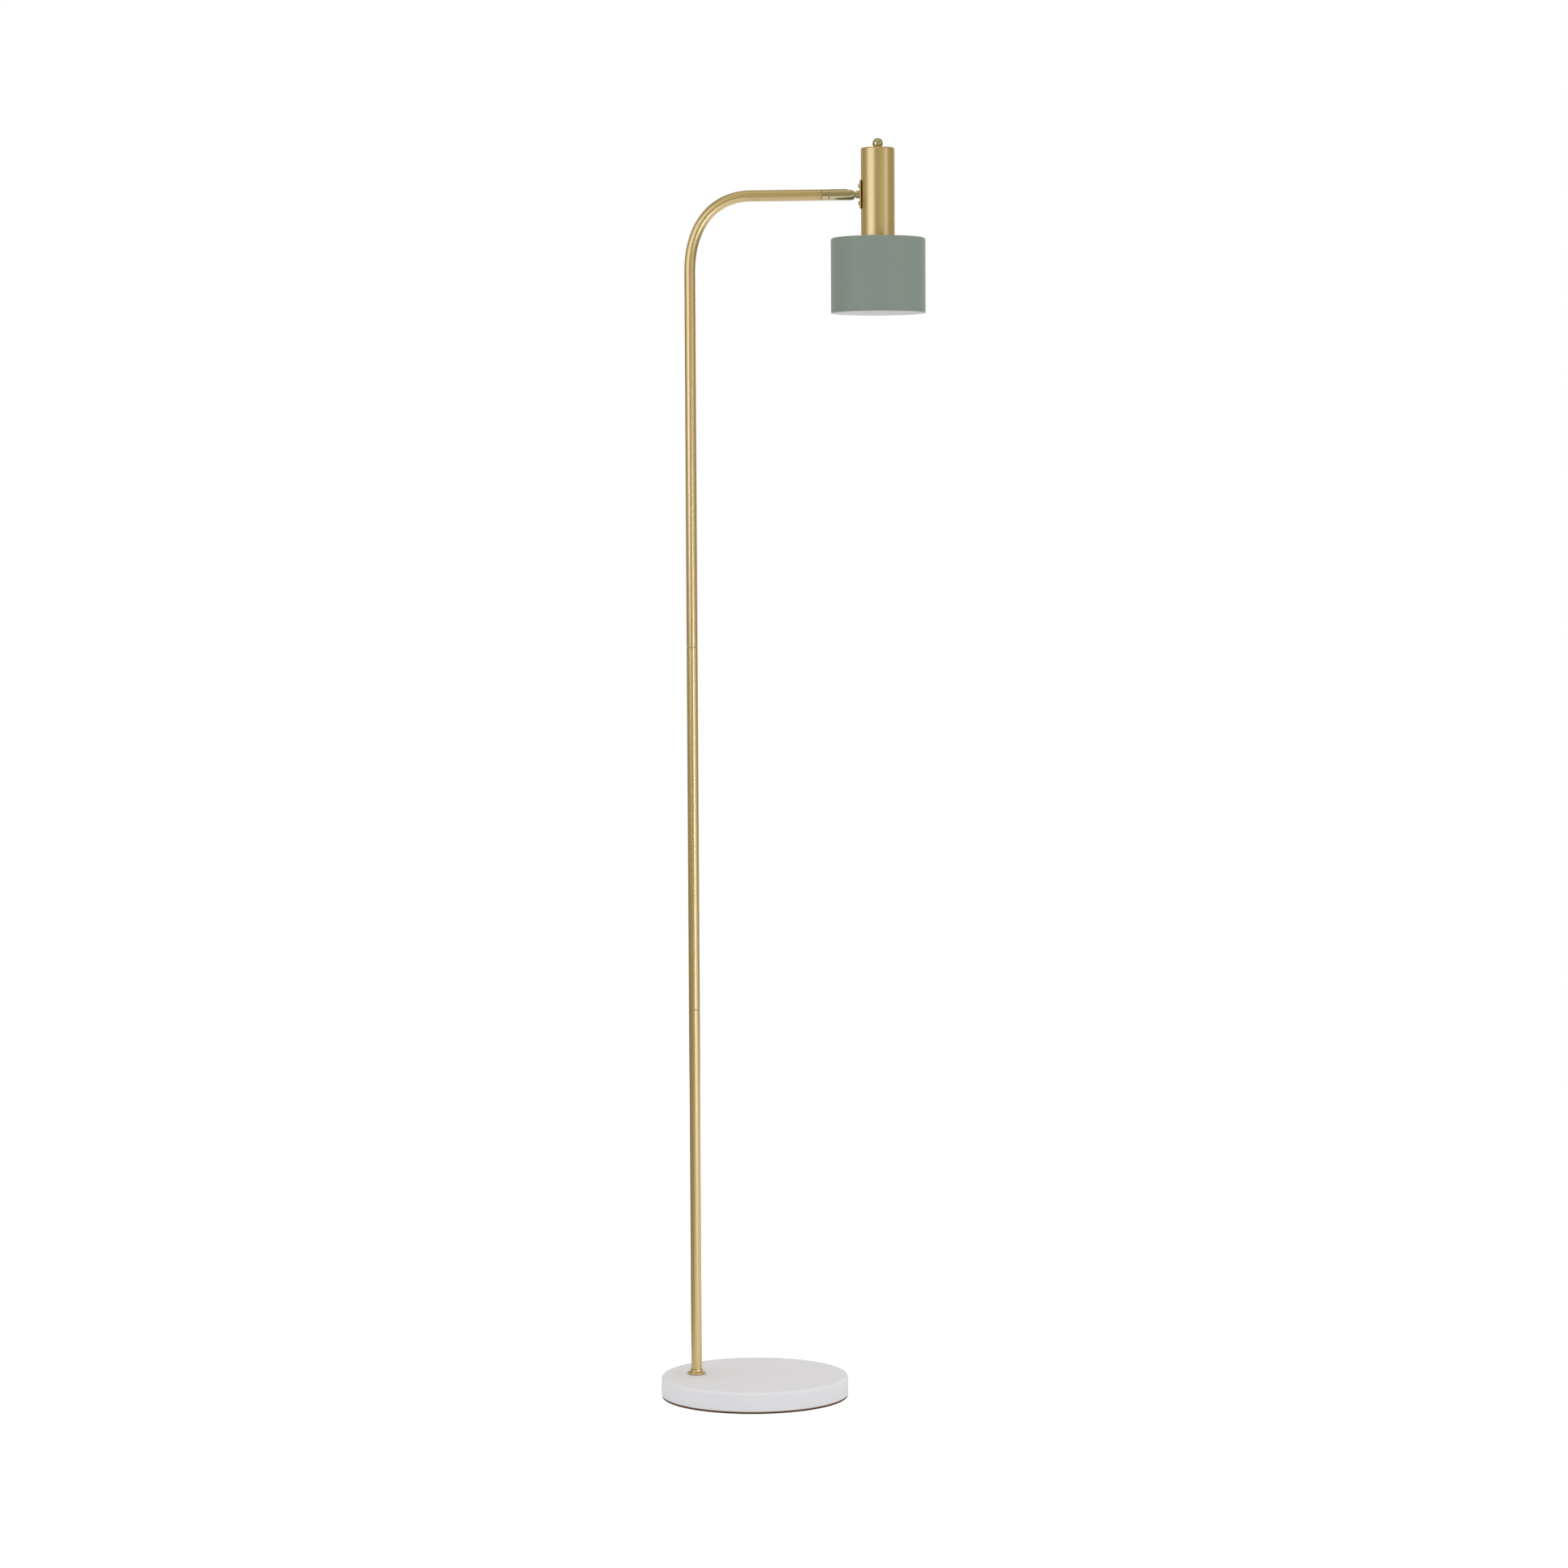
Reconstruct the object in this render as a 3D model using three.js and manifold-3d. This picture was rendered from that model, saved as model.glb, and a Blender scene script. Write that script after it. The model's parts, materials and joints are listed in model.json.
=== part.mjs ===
// Floor lamp with a weighted disc base, a screwed three-piece pole whose top bends over into an arm, and a
// spot head carried on a turning, tilting joint at the arm's end.
// Millimetres. Origin: on the floor under the middle of the base. +Z up, +X along the arm.
import * as THREE from "three";
import { mergeVertices } from "three/addons/utils/BufferGeometryUtils.js";
import Module from "manifold-3d";

const wasm = await Module();
wasm.setup();

// Clearances
const gap = 0.3; // between pieces that rest on or fit into each other
const slack = 1; // how far a cutting shape runs past the face it cuts

// Facets round a full circle
const largeFacets = 44;
const mediumFacets = 32;
const tubeFacets = 20;
const smallFacets = 12;
const leadFacets = 8;
const hexSides = 6;

// Base
const baseDiameter = 230;
const baseHeight = 25.7;
const coverWall = 1.5;
const coverEdgeRadius = 3.5;
const padThickness = 2.3;
const padInset = 1;
const bottomPlateThickness = 1.5;
const poleInset = 42.8; // base's rim to the pole's axis
const nutPocketDepth = 12.6;
const nutPocketRadius = 15;
const leadChannelWidth = 14;
const leadChannelDepth = 11.5;

// Terminal block, cord clamp and cord inlet, inside the base
const terminalWidth = 19;
const terminalLength = 27;
const terminalHeight = 9;
const terminalToClamp = 3.5;
const terminalWays = 2;
const terminalWayRadius = 1.9;
const terminalWayPitch = 8;
const clampLength = 28;
const clampWidth = 6;
const clampThickness = 2.6;
const clampInset = 23.5; // outside of the cover to the clamp, along the lead's channel
const clampScrewPitch = 20.5;
const inletHoleRadius = 4.6;
const inletFlange = 2; // how far the bush's flanges stand out past its hole
const inletFlangeThickness = 1.5;
const inletBoreRadius = 3.1;

// Countersunk screws that hold the bottom plate
const plateScrewCount = 3;
const plateScrewInset = 23; // base's rim to each screw
const plateScrewHeadRadius = 3.4;
const plateScrewRadius = 1.8;
const plateScrewLength = 10;

// Pole and arm
const poleDiameter = 13.5;
const poleWall = 1;
const lowerSeamHeight = 477.2;
const poleSectionLength = 444;
const bendReach = 74.3;
const bendDrop = 90.5;
const bendFullness = 0.61; // share of the reach and drop that each end of the bend leaves straight on for
const bendSteps = 14;
const armHeight = 1467.9;
const armReach = 195; // pole's axis to the middle of the ball

// Screwed joints in the pole
const nippleRadius = 4;
const nippleWall = 1.2;
const insertLength = 18;
const nippleGrip = 15; // how far a nipple screws into each insert

// Foot of the pole
const flangeRadius = 11.3;
const flangeBeadHeight = 2.6;
const flangeHeight = 6.2;
const flangeNeckWall = 0.6;
const footWasherRadius = 10;
const footWasherThickness = 1.5;
const lockWasherRadius = 7;
const lockWasherThickness = 1;
const footNutAcrossFlats = 13;
const footNutHeight = 4.5;

// Lead inside the pole and head
const leadDiameter = 3;
const leadClearance = 0.35;

// Turning and tilting joint, along the arm from the middle of the ball
const housingDiameter = 13.7;
const housingLength = 30.2;
const housingFront = 5.9; // ball's middle to the mouth
const housingChamferLength = 3.2;
const housingMouthWall = 0.6;
const housingRearWall = 2.4;
const ballRadius = 5.4;
const ballNeckRadius = 3.6;
const mouthFlare = 0.5;
const slotClearance = 0.4;
const collarLength = 8.9;
const studRadius = 3.2;
const studHeadThickness = 2.2;
const studGrip = 14; // length of the stud held in the arm's insert
const washerThickness = 0.9;
const seatLength = 6.2;
const springWireRadius = 0.45;
const springTurns = 4;
const springFacets = 6;
const springStepsPerTurn = 12;

// Boss and plate that join the head to the ball stem
const bossStart = 8.5; // ball's middle to the boss
const bossLength = 4.4;
const bossRadius = 4.8;
const spigotRadius = 3.05;
const grooveDepth = 0.55;
const grooveWidth = 3;
const bossScrewRadius = 1.2;
const headPlateThickness = 1.8;
const headPlateWidth = 20;
const headPlateHeight = 34;
const headPlateCornerRadius = 1.6;
const headPlateScrewPitch = 21;
const headPlateScrewRadius = 1.9;
const headPlateScrewHeadRadius = 3.2;
const headPlateScrewHeadHeight = 2.3;
const backingBarThickness = 2.4;
const backingBarWidth = 11;
const backingBarHeight = 30;

// Head tube
const headTubeWall = 2;
const holderClearance = 1.5; // lamp holder to the inside of the tube
const headTubeAbove = 55.8; // arm's axis to the tube's closed top
const headTubeBelow = 52.65; // arm's axis to the shade's top
const headTubeEdgeRadius = 2.6;
const headFlatDepth = 0.9; // flat milled for the plate
const finialRadius = 6.4;
const finialRise = 5.3; // tube's top to the middle of the finial
const rodRadius = 2.4;
const rodNutAcrossFlats = 9;
const rodNutHeight = 3.5;

// Lamp holder and its ring
const holderWall = 2;
const holderHeight = 50;
const holderSkirtHeight = 36;
const holderTopRadius = 10;
const holderBelowShadeTop = 7;
const holderLeadOffset = 6.5;
const ringWall = 4.5;
const ringThickness = 4;
const screwShellWall = 0.6;
const capClearance = 1; // bulb's cap to the screw shell, the depth of the threads
const screwShellLength = 24;
const contactRadius = 3;
const contactThickness = 0.8;

// Shade
const shadeDiameter = 114.6;
const shadeHeight = 90.2;
const shadeWall = 1.2;
const shadeEdgeRadius = 3.2;

// Bulb, a small round one
const bulbCapRadius = 13.1;
const bulbCapLength = 23;
const bulbTipRadius = 4.2;
const bulbTipLength = 2;
const bulbGlobeRadius = 22.5;
const bulbNeckRadius = 12;
const bulbWall = 1;
const bulbReach = 51; // cap's lower end to the far side of the globe

// Places worked out from the sizes above
const baseRadius = baseDiameter / 2;
const poleOffset = baseRadius - poleInset; // base's middle to the pole's axis
const plateScrewCircle = baseRadius - plateScrewInset;
const channelLength = Math.sqrt(baseRadius ** 2 - poleOffset ** 2);
const clampPoleDistance = channelLength - clampInset;
const terminalPoleDistance = clampPoleDistance - clampWidth / 2 - terminalToClamp - terminalLength / 2;
const coverBottom = padThickness + gap;
const coverCeiling = baseHeight - coverWall;
const weightRadius = baseRadius - coverWall - 6 * gap;
const weightBottom = coverBottom + bottomPlateThickness + gap;
const weightTop = coverCeiling - gap;
const poleRadius = poleDiameter / 2;
const poleBore = poleRadius - poleWall;
const poleFoot = baseHeight + gap;
const upperSeamHeight = lowerSeamHeight + poleSectionLength;
const leadRadius = leadDiameter / 2;
const leadBore = leadRadius + leadClearance;
const nutPocketTop = weightBottom + nutPocketDepth;
const leadHeight = weightBottom + terminalWayRadius + 2 * gap; // middle of the lead inside the base
const footNutTop = nutPocketTop - footWasherThickness - lockWasherThickness - 3 * gap;
const housingRadius = housingDiameter / 2;
const socketRadius = ballRadius + gap;
const slotHalfWidth = ballNeckRadius + slotClearance;
const lipRadius = (ballNeckRadius + ballRadius) / 2; // opening that keeps the ball in
const studHeadRadius = socketRadius - 2 * gap;
const housingBack = housingFront - housingLength;
const collarFront = housingBack - gap;
const collarBack = collarFront - collarLength;
const armEnd = collarBack - gap;
const studHeadBack = housingBack + housingRearWall + washerThickness + 2 * gap;
const studHeadFront = studHeadBack + studHeadThickness;
const screwShellBore = bulbCapRadius + capClearance;
const holderBore = screwShellBore + screwShellWall + gap;
const holderRadius = holderBore + holderWall;
const headTubeRadius = holderRadius + holderClearance + headTubeWall;
const headFlat = headTubeRadius - headFlatDepth; // head's axis to the milled flat
const headPlateInner = headFlat + gap / 2;
const headPlateOuter = headPlateInner + headPlateThickness;
const headOffset = bossStart + bossLength + headPlateOuter; // ball's middle to the head's axis
const shadeRadius = shadeDiameter / 2;
const shadeTop = -headTubeBelow;
const holderBottom = shadeTop - holderBelowShadeTop;
const holderTop = holderBottom + holderHeight;
const bulbCapBottom = holderBottom + 2;

const brushedBrass = { color: 0xb49a66, roughness: 0.36, metalness: 1 };
const polishedBrass = { color: 0xc9b988, roughness: 0.16, metalness: 1 };
const brightSteel = { color: 0xb9bcc0, roughness: 0.35, metalness: 1 };
const zincPlate = { color: 0xa9abab, roughness: 0.42, metalness: 0.9 };
const castIron = { color: 0x4a4b4d, roughness: 0.75, metalness: 0.6 };
const whitePaint = { color: 0xdedcda, roughness: 0.55, metalness: 0 };
const sagePaint = { color: 0x838f86, roughness: 0.6, metalness: 0 };
const blackFoam = { color: 0x1d1c1b, roughness: 0.9, metalness: 0 };
const blackPlastic = { color: 0x232323, roughness: 0.55, metalness: 0 };
const whitePlastic = { color: 0xe6e4dd, roughness: 0.5, metalness: 0 };
const leadPlastic = { color: 0xd8d5cc, roughness: 0.5, metalness: 0 };
const opalGlass = { color: 0xf3f1ea, roughness: 0.2, metalness: 0 };

// A round solid about +Z from its half outline, points [radius, height]. The outline starts and ends on the
// axis, or its last point joins the first.
function turned(outline, facets) {
  const onAxis = outline[0][0] === 0;
  const ring = onAxis ? outline : [...outline, outline[0]];
  let area = 0;
  ring.forEach(([radius, height], index) => {
    const [nextRadius, nextHeight] = ring[(index + 1) % ring.length];
    area += radius * nextHeight - nextRadius * height;
  });
  const ordered = area > 0 ? ring : [...ring].reverse();
  const points = ordered.map(([radius, height]) => new THREE.Vector2(radius, height));
  return new THREE.LatheGeometry(points, facets).rotateX(Math.PI / 2);
}

// Points [radius, height] along an arc, angles in degrees from the outward direction, turning upwards.
function arc(radius, height, size, fromDegrees, toDegrees, steps) {
  return Array.from({ length: steps + 1 }, (_, step) => {
    const angle = THREE.MathUtils.degToRad(fromDegrees + ((toDegrees - fromDegrees) * step) / steps);
    return [radius + size * Math.cos(angle), height + size * Math.sin(angle)];
  });
}

// A plain tube, rod or washer about +Z.
function sleeve(outer, bore, from, to, facets = smallFacets) {
  const outline = [[bore, from], [outer, from], [outer, to], [bore, to]];
  return turned(outline, facets);
}

function block(sizeX, sizeY, sizeZ, x, y, z) {
  return new THREE.BoxGeometry(sizeX, sizeY, sizeZ).translate(x, y, z);
}

// A nut about +Z, with its bore.
function hexNut(acrossFlats, bore, from, to) {
  const corner = acrossFlats / 2 / Math.cos(Math.PI / hexSides);
  const blank = new THREE.CylinderGeometry(corner, corner, to - from, hexSides);
  blank.rotateX(Math.PI / 2).translate(0, 0, (from + to) / 2);
  return cut(blank, sleeve(bore, 0, from - slack, to + slack));
}

function toSolid(geometry) {
  const bare = geometry.clone();
  bare.deleteAttribute("normal");
  bare.deleteAttribute("uv");
  const merged = mergeVertices(bare, 1e-4);
  const vertProperties = new Float32Array(merged.attributes.position.array);
  const triVerts = new Uint32Array(merged.index.array);
  return new wasm.Manifold(new wasm.Mesh({ numProp: 3, vertProperties, triVerts }));
}

function toGeometry(solid) {
  const { numProp, vertProperties, triVerts } = solid.getMesh();
  const positions = new Float32Array((vertProperties.length / numProp) * 3);
  for (let vertex = 0; vertex * numProp < vertProperties.length; vertex += 1) {
    const start = vertex * numProp;
    positions.set(vertProperties.subarray(start, start + 3), vertex * 3);
  }
  const geometry = new THREE.BufferGeometry();
  geometry.setAttribute("position", new THREE.BufferAttribute(positions, 3));
  geometry.setIndex(new THREE.BufferAttribute(triVerts, 1));
  geometry.computeVertexNormals();
  return geometry;
}

function cut(geometry, ...tools) {
  return toGeometry(tools.reduce((left, tool) => left.subtract(toSolid(tool)), toSolid(geometry)));
}

function join(...geometries) {
  const [first, ...others] = geometries.map(toSolid);
  return toGeometry(others.reduce((whole, other) => whole.add(other), first));
}

function piece(name, geometry, finish, parent) {
  const mesh = new THREE.Mesh(geometry, new THREE.MeshStandardMaterial(finish));
  mesh.name = name;
  parent.add(mesh);
  return mesh;
}

// The line through the middle of the pole's top section and the arm: straight up, round the bend, straight
// along +X. Its steps are shared out by stretch, so the straight stretches take one each.
class PoleLine extends THREE.Curve {
  constructor(bottom, end) {
    super();
    const bendStart = armHeight - bendDrop;
    this.start = new THREE.Vector3(0, 0, bottom);
    this.end = new THREE.Vector3(end, 0, armHeight);
    this.bend = new THREE.CubicBezierCurve3(
      new THREE.Vector3(0, 0, bendStart),
      new THREE.Vector3(0, 0, bendStart + bendFullness * bendDrop),
      new THREE.Vector3(bendReach * (1 - bendFullness), 0, armHeight),
      new THREE.Vector3(bendReach, 0, armHeight),
    );
    this.steps = bendSteps + 2;
  }

  getPoint(share, target = new THREE.Vector3()) {
    const step = share * this.steps;
    if (step < 1) return target.lerpVectors(this.start, this.bend.v0, step);
    if (step > bendSteps + 1) return target.lerpVectors(this.bend.v3, this.end, step - bendSteps - 1);
    return this.bend.getPoint((step - 1) / bendSteps, target);
  }

  getPointAt(share, target) {
    return this.getPoint(share, target);
  }

  getTangentAt(share, target = new THREE.Vector3()) {
    const step = share * this.steps;
    if (step <= 1) return target.set(0, 0, 1);
    if (step >= bendSteps + 1) return target.set(1, 0, 0);
    return this.bend.getTangent((step - 1) / bendSteps, target);
  }
}

function swept(line, steps, radius, bore, facets) {
  const section = new THREE.Shape(circlePoints(radius, facets));
  if (bore > 0) section.holes.push(new THREE.Path(circlePoints(bore, facets)));
  return new THREE.ExtrudeGeometry(section, { steps, bevelEnabled: false, extrudePath: line });
}

function circlePoints(radius, facets) {
  return Array.from({ length: facets }, (_, index) => {
    const angle = (index / facets) * 2 * Math.PI;
    return new THREE.Vector2(radius * Math.cos(angle), radius * Math.sin(angle));
  });
}

// ---- base ----

function addBase(parent) {
  piece("base_cover", baseCover(), whitePaint, parent);
  piece("base_weight", baseWeight(), castIron, parent);
  piece("base_bottom_plate", bottomPlate(), zincPlate, parent);
  piece("base_pad", sleeve(baseRadius - padInset, 0, 0, padThickness, largeFacets), blackFoam, parent);
  plateScrewPlaces().forEach(([x, y], index) => {
    const screw = piece(`plate_screw_${index + 1}`, plateScrew(), zincPlate, parent);
    screw.position.set(x, y, coverBottom);
  });
  addInlet(parent);
}

function plateScrewPlaces() {
  return Array.from({ length: plateScrewCount }, (_, index) => {
    const angle = (index / plateScrewCount) * 2 * Math.PI;
    return [plateScrewCircle * Math.cos(angle), plateScrewCircle * Math.sin(angle)];
  });
}

// Where the lead channel, which runs along +Y from the pole, meets the cover's wall.
function inletAngle() {
  return Math.acos(-poleOffset / baseRadius);
}

function inletHeight() {
  return weightBottom + inletHoleRadius + inletFlange + gap;
}

// Turns a piece made about +Z so that it points out through the inlet, at a distance from the base's middle.
function placeAtInlet(geometry) {
  return geometry.rotateY(Math.PI / 2).rotateZ(inletAngle()).translate(0, 0, inletHeight());
}

function baseCover() {
  const inner = baseRadius - coverWall;
  const innerEdge = Math.max(coverEdgeRadius - coverWall, gap);
  const shell = turned(
    [
      [0, coverCeiling],
      ...arc(inner - innerEdge, coverCeiling - innerEdge, innerEdge, 90, 0, 2),
      [inner, coverBottom],
      [baseRadius, coverBottom],
      ...arc(baseRadius - coverEdgeRadius, baseHeight - coverEdgeRadius, coverEdgeRadius, 0, 90, 3),
      [0, baseHeight],
    ],
    largeFacets,
  );
  const nippleHole = sleeve(nippleRadius + gap, 0, coverCeiling - slack, baseHeight + slack);
  nippleHole.translate(-poleOffset, 0, 0);
  const inletHole = placeAtInlet(sleeve(inletHoleRadius, 0, inner - 2 * slack, baseRadius + slack));
  return cut(shell, nippleHole, inletHole);
}

function baseWeight() {
  const disc = sleeve(weightRadius, 0, weightBottom, weightTop, largeFacets);
  const below = weightBottom - slack;
  const nippleHole = sleeve(nippleRadius + gap, 0, below, weightTop + slack);
  const nutPocket = sleeve(nutPocketRadius, 0, below, nutPocketTop, tubeFacets);
  const channel = pocket(leadChannelWidth, baseRadius, leadChannelDepth, baseRadius / 2);
  const terminalPocket = pocket(
    terminalWidth + 4 * gap,
    terminalLength + 4 * gap,
    leadChannelDepth + gap,
    terminalPoleDistance,
  );
  const clampPocket = pocket(
    clampLength + 2 * gap,
    clampWidth + 2 * gap,
    clampDepth() + clampThickness + gap,
    clampPoleDistance,
  );
  const hollows = [nippleHole, nutPocket, channel, terminalPocket, clampPocket];
  hollows.forEach((hollow) => hollow.translate(-poleOffset, 0, 0));
  const bushRoom = inletHoleRadius + inletFlange + gap;
  const bushDepth = weightRadius - 2 * inletFlangeThickness - slack;
  hollows.push(placeAtInlet(sleeve(bushRoom, 0, bushDepth, baseRadius, tubeFacets)));
  const screwHoles = plateScrewPlaces().map(([x, y]) => {
    const top = coverBottom + plateScrewLength + slack;
    return sleeve(plateScrewRadius + gap, 0, below, top).translate(x, y, 0);
  });
  const clampHoles = clampScrewPlaces().map(([x, y]) => {
    const top = weightBottom + clampScrewLength() + slack;
    return sleeve(plateScrewRadius + gap, 0, below, top).translate(x, y, 0);
  });
  return cut(disc, ...hollows, ...screwHoles, ...clampHoles);
}

// A box sunk into the underside of the weight, its middle a distance along +Y from the pole's axis.
function pocket(width, length, depth, distance) {
  return block(width, length, depth + slack, 0, distance, weightBottom + (depth - slack) / 2);
}

function clampDepth() {
  return leadChannelDepth / 4;
}

function clampScrewLength() {
  return clampDepth() + clampThickness + leadChannelDepth / 2;
}

function clampScrewPlaces() {
  return [-1, 1].map((side) => [-poleOffset + (side * clampScrewPitch) / 2, clampPoleDistance]);
}

function bottomPlate() {
  const top = coverBottom + bottomPlateThickness;
  const disc = sleeve(weightRadius, 0, coverBottom, top, largeFacets);
  const sinks = plateScrewPlaces().map(([x, y]) =>
    sleeve(plateScrewHeadRadius + gap, 0, coverBottom - slack, top + slack).translate(x, y, 0),
  );
  return cut(disc, ...sinks);
}

function plateScrew() {
  return turned(
    [
      [0, gap],
      [plateScrewHeadRadius, gap],
      [plateScrewRadius, bottomPlateThickness + gap],
      [plateScrewRadius, plateScrewLength],
      [0, plateScrewLength],
    ],
    smallFacets,
  );
}

function addInlet(parent) {
  const wallMiddle = baseRadius - coverWall / 2;
  const barrel = inletHoleRadius - gap;
  const flange = inletHoleRadius + inletFlange;
  const half = coverWall / 2 + 2 * gap; // the flanges clear the curve of the wall
  const outline = [
    [inletBoreRadius, wallMiddle - half - inletFlangeThickness],
    [flange, wallMiddle - half - inletFlangeThickness],
    [flange, wallMiddle - half],
    [barrel, wallMiddle - half],
    [barrel, wallMiddle + half],
    [flange, wallMiddle + half],
    [flange - gap, wallMiddle + half + inletFlangeThickness],
    [inletBoreRadius, wallMiddle + half + inletFlangeThickness],
  ];
  piece("cord_inlet_bush", placeAtInlet(turned(outline, tubeFacets)), blackPlastic, parent);

  const terminals = piece("terminal_block", terminalBlock(), whitePlastic, parent);
  terminals.position.set(-poleOffset, terminalPoleDistance, terminalMiddle());

  const clampHoles = [-1, 1].map((side) =>
    sleeve(plateScrewRadius + gap, 0, -clampThickness, 2 * clampThickness).translate(
      (side * clampScrewPitch) / 2,
      0,
      0,
    ),
  );
  const bar = cut(block(clampLength, clampWidth, clampThickness, 0, 0, clampThickness / 2), ...clampHoles);
  const clamp = piece("cord_clamp", bar, zincPlate, parent);
  clamp.position.set(-poleOffset, clampPoleDistance, weightBottom + clampDepth());

  clampScrewPlaces().forEach(([x, y], index) => {
    const screw = piece(`clamp_screw_${index + 1}`, clampScrew(), zincPlate, parent);
    screw.position.set(x, y, weightBottom);
  });
}

function clampScrew() {
  const headTop = clampDepth() - gap;
  return turned(
    [
      [0, gap],
      [plateScrewHeadRadius - gap, gap],
      [plateScrewHeadRadius - gap, headTop],
      [plateScrewRadius, headTop],
      [plateScrewRadius, clampScrewLength()],
      [0, clampScrewLength()],
    ],
    smallFacets,
  );
}

function terminalMiddle() {
  return weightBottom + gap + terminalHeight / 2;
}

function terminalBlock() {
  const body = block(terminalWidth, terminalLength, terminalHeight, 0, 0, 0);
  const ways = Array.from({ length: terminalWays }, (_, index) => {
    const x = (index - (terminalWays - 1) / 2) * terminalWayPitch;
    const reach = terminalLength / 2 + slack;
    const z = leadHeight - terminalMiddle();
    return sleeve(terminalWayRadius, 0, -reach, reach).rotateX(Math.PI / 2).translate(x, 0, z);
  });
  return cut(body, ...ways);
}

// ---- pole ----

function addPole(parent) {
  const lowerTop = lowerSeamHeight - gap / 2;
  const middleBottom = lowerSeamHeight + gap / 2;
  const middleTop = upperSeamHeight - gap / 2;
  const upperBottom = upperSeamHeight + gap / 2;
  const armTip = armReach + armEnd;
  const upperLine = new PoleLine(upperBottom, armTip);

  const lowerTube = sleeve(poleRadius, poleBore, poleFoot, lowerTop, tubeFacets);
  const middleTube = sleeve(poleRadius, poleBore, middleBottom, middleTop, tubeFacets);
  piece("lower_pole", lowerTube, brushedBrass, parent);
  piece("middle_pole", middleTube, brushedBrass, parent);
  const upperTube = swept(upperLine, upperLine.steps, poleRadius, poleBore, tubeFacets);
  piece("upper_pole", upperTube, brushedBrass, parent);

  const insertRadius = poleBore - gap;
  const insertBore = nippleRadius + gap;
  [
    ["foot_insert", poleFoot + gap],
    ["lower_pole_top_insert", lowerTop - gap - insertLength],
    ["middle_pole_bottom_insert", middleBottom + gap],
    ["middle_pole_top_insert", middleTop - gap - insertLength],
    ["upper_pole_bottom_insert", upperBottom + gap],
  ].forEach(([name, from]) => {
    piece(name, sleeve(insertRadius, insertBore, from, from + insertLength), zincPlate, parent);
  });

  const nippleBore = nippleRadius - nippleWall;
  [
    ["lower_coupler", lowerSeamHeight - nippleGrip, lowerSeamHeight + nippleGrip],
    ["upper_coupler", upperSeamHeight - nippleGrip, upperSeamHeight + nippleGrip],
    ["foot_nipple", footNutTop - footNutHeight - gap, poleFoot + nippleGrip],
  ].forEach(([name, from, to]) => {
    piece(name, sleeve(nippleRadius, nippleBore, from, to), zincPlate, parent);
  });

  addFoot(parent);
  piece("stand_lead", standLead(), leadPlastic, parent);
}

function addFoot(parent) {
  const neck = poleRadius + gap;
  const beadRadius = flangeBeadHeight / 2;
  const flange = turned(
    [
      [neck, poleFoot],
      ...arc(flangeRadius - beadRadius, poleFoot + beadRadius, beadRadius, -90, 60, 4),
      [(flangeRadius + neck) / 2, poleFoot + (flangeBeadHeight + flangeHeight) / 2 - gap],
      [neck + flangeNeckWall, poleFoot + flangeHeight],
      [neck, poleFoot + flangeHeight],
    ],
    tubeFacets,
  );
  piece("foot_flange", flange, polishedBrass, parent);

  const bore = nippleRadius + gap;
  const washerTop = nutPocketTop - gap;
  const lockTop = washerTop - footWasherThickness - gap;
  const washer = sleeve(footWasherRadius, bore, washerTop - footWasherThickness, washerTop);
  const lockWasher = sleeve(lockWasherRadius, bore, lockTop - lockWasherThickness, lockTop);
  piece("foot_washer", washer, zincPlate, parent);
  piece("foot_lock_washer", lockWasher, zincPlate, parent);
  const nut = hexNut(footNutAcrossFlats, bore, footNutTop - footNutHeight, footNutTop);
  piece("foot_nut", nut, zincPlate, parent);
}

// The lead from the terminal block, under the foot nut, up the pole and along the arm to the ball's spring.
function standLead() {
  const riser = new PoleLine(leadHeight, armReach + springRest().to);
  const inPole = swept(riser, riser.steps, leadRadius, 0, leadFacets);
  const toTerminals = terminalPoleDistance - terminalLength / 2 - gap;
  const underNut = sleeve(leadRadius, 0, -leadRadius, toTerminals, leadFacets);
  underNut.rotateX(-Math.PI / 2).translate(0, 0, leadHeight);
  return join(inPole, underNut);
}

// ---- turning and tilting joint, made about +Z with the ball's middle at zero ----

function addArmEnd(parent) {
  const studBore = leadBore;
  const insertFrom = armEnd - gap - studGrip;
  const insert = sleeve(poleBore - gap, studRadius + gap, insertFrom, armEnd - gap);
  piece("arm_end_insert", insert, zincPlate, parent);
  const collar = sleeve(housingRadius - gap / 2, studRadius + gap, collarBack, collarFront, tubeFacets);
  piece("arm_collar", collar, polishedBrass, parent);
  const stud = turned(
    [
      [studBore, insertFrom],
      [studRadius, insertFrom],
      [studRadius, studHeadBack],
      [studHeadRadius, studHeadBack],
      [studHeadRadius, studHeadFront],
      [studBore, studHeadFront],
    ],
    smallFacets,
  );
  piece("swivel_stud", stud, brightSteel, parent);
}

// Room for the spring between the stud's head and the ball's seat.
function springRest() {
  return { from: studHeadFront + gap, to: seatBack() - gap };
}

function seatBack() {
  return -ballRadius - gap - seatLength / 3;
}

function addSwivel(parent) {
  piece("swivel_housing", swivelHousing(), polishedBrass, parent);
  const washerFrom = housingBack + housingRearWall + gap;
  const washer = sleeve(studHeadRadius, studRadius + gap, washerFrom, washerFrom + washerThickness);
  piece("friction_washer", washer, whitePlastic, parent);
  piece("ball_seat", ballSeat(), whitePlastic, parent);
  piece("ball_spring", ballSpring(), brightSteel, parent);
}

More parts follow.
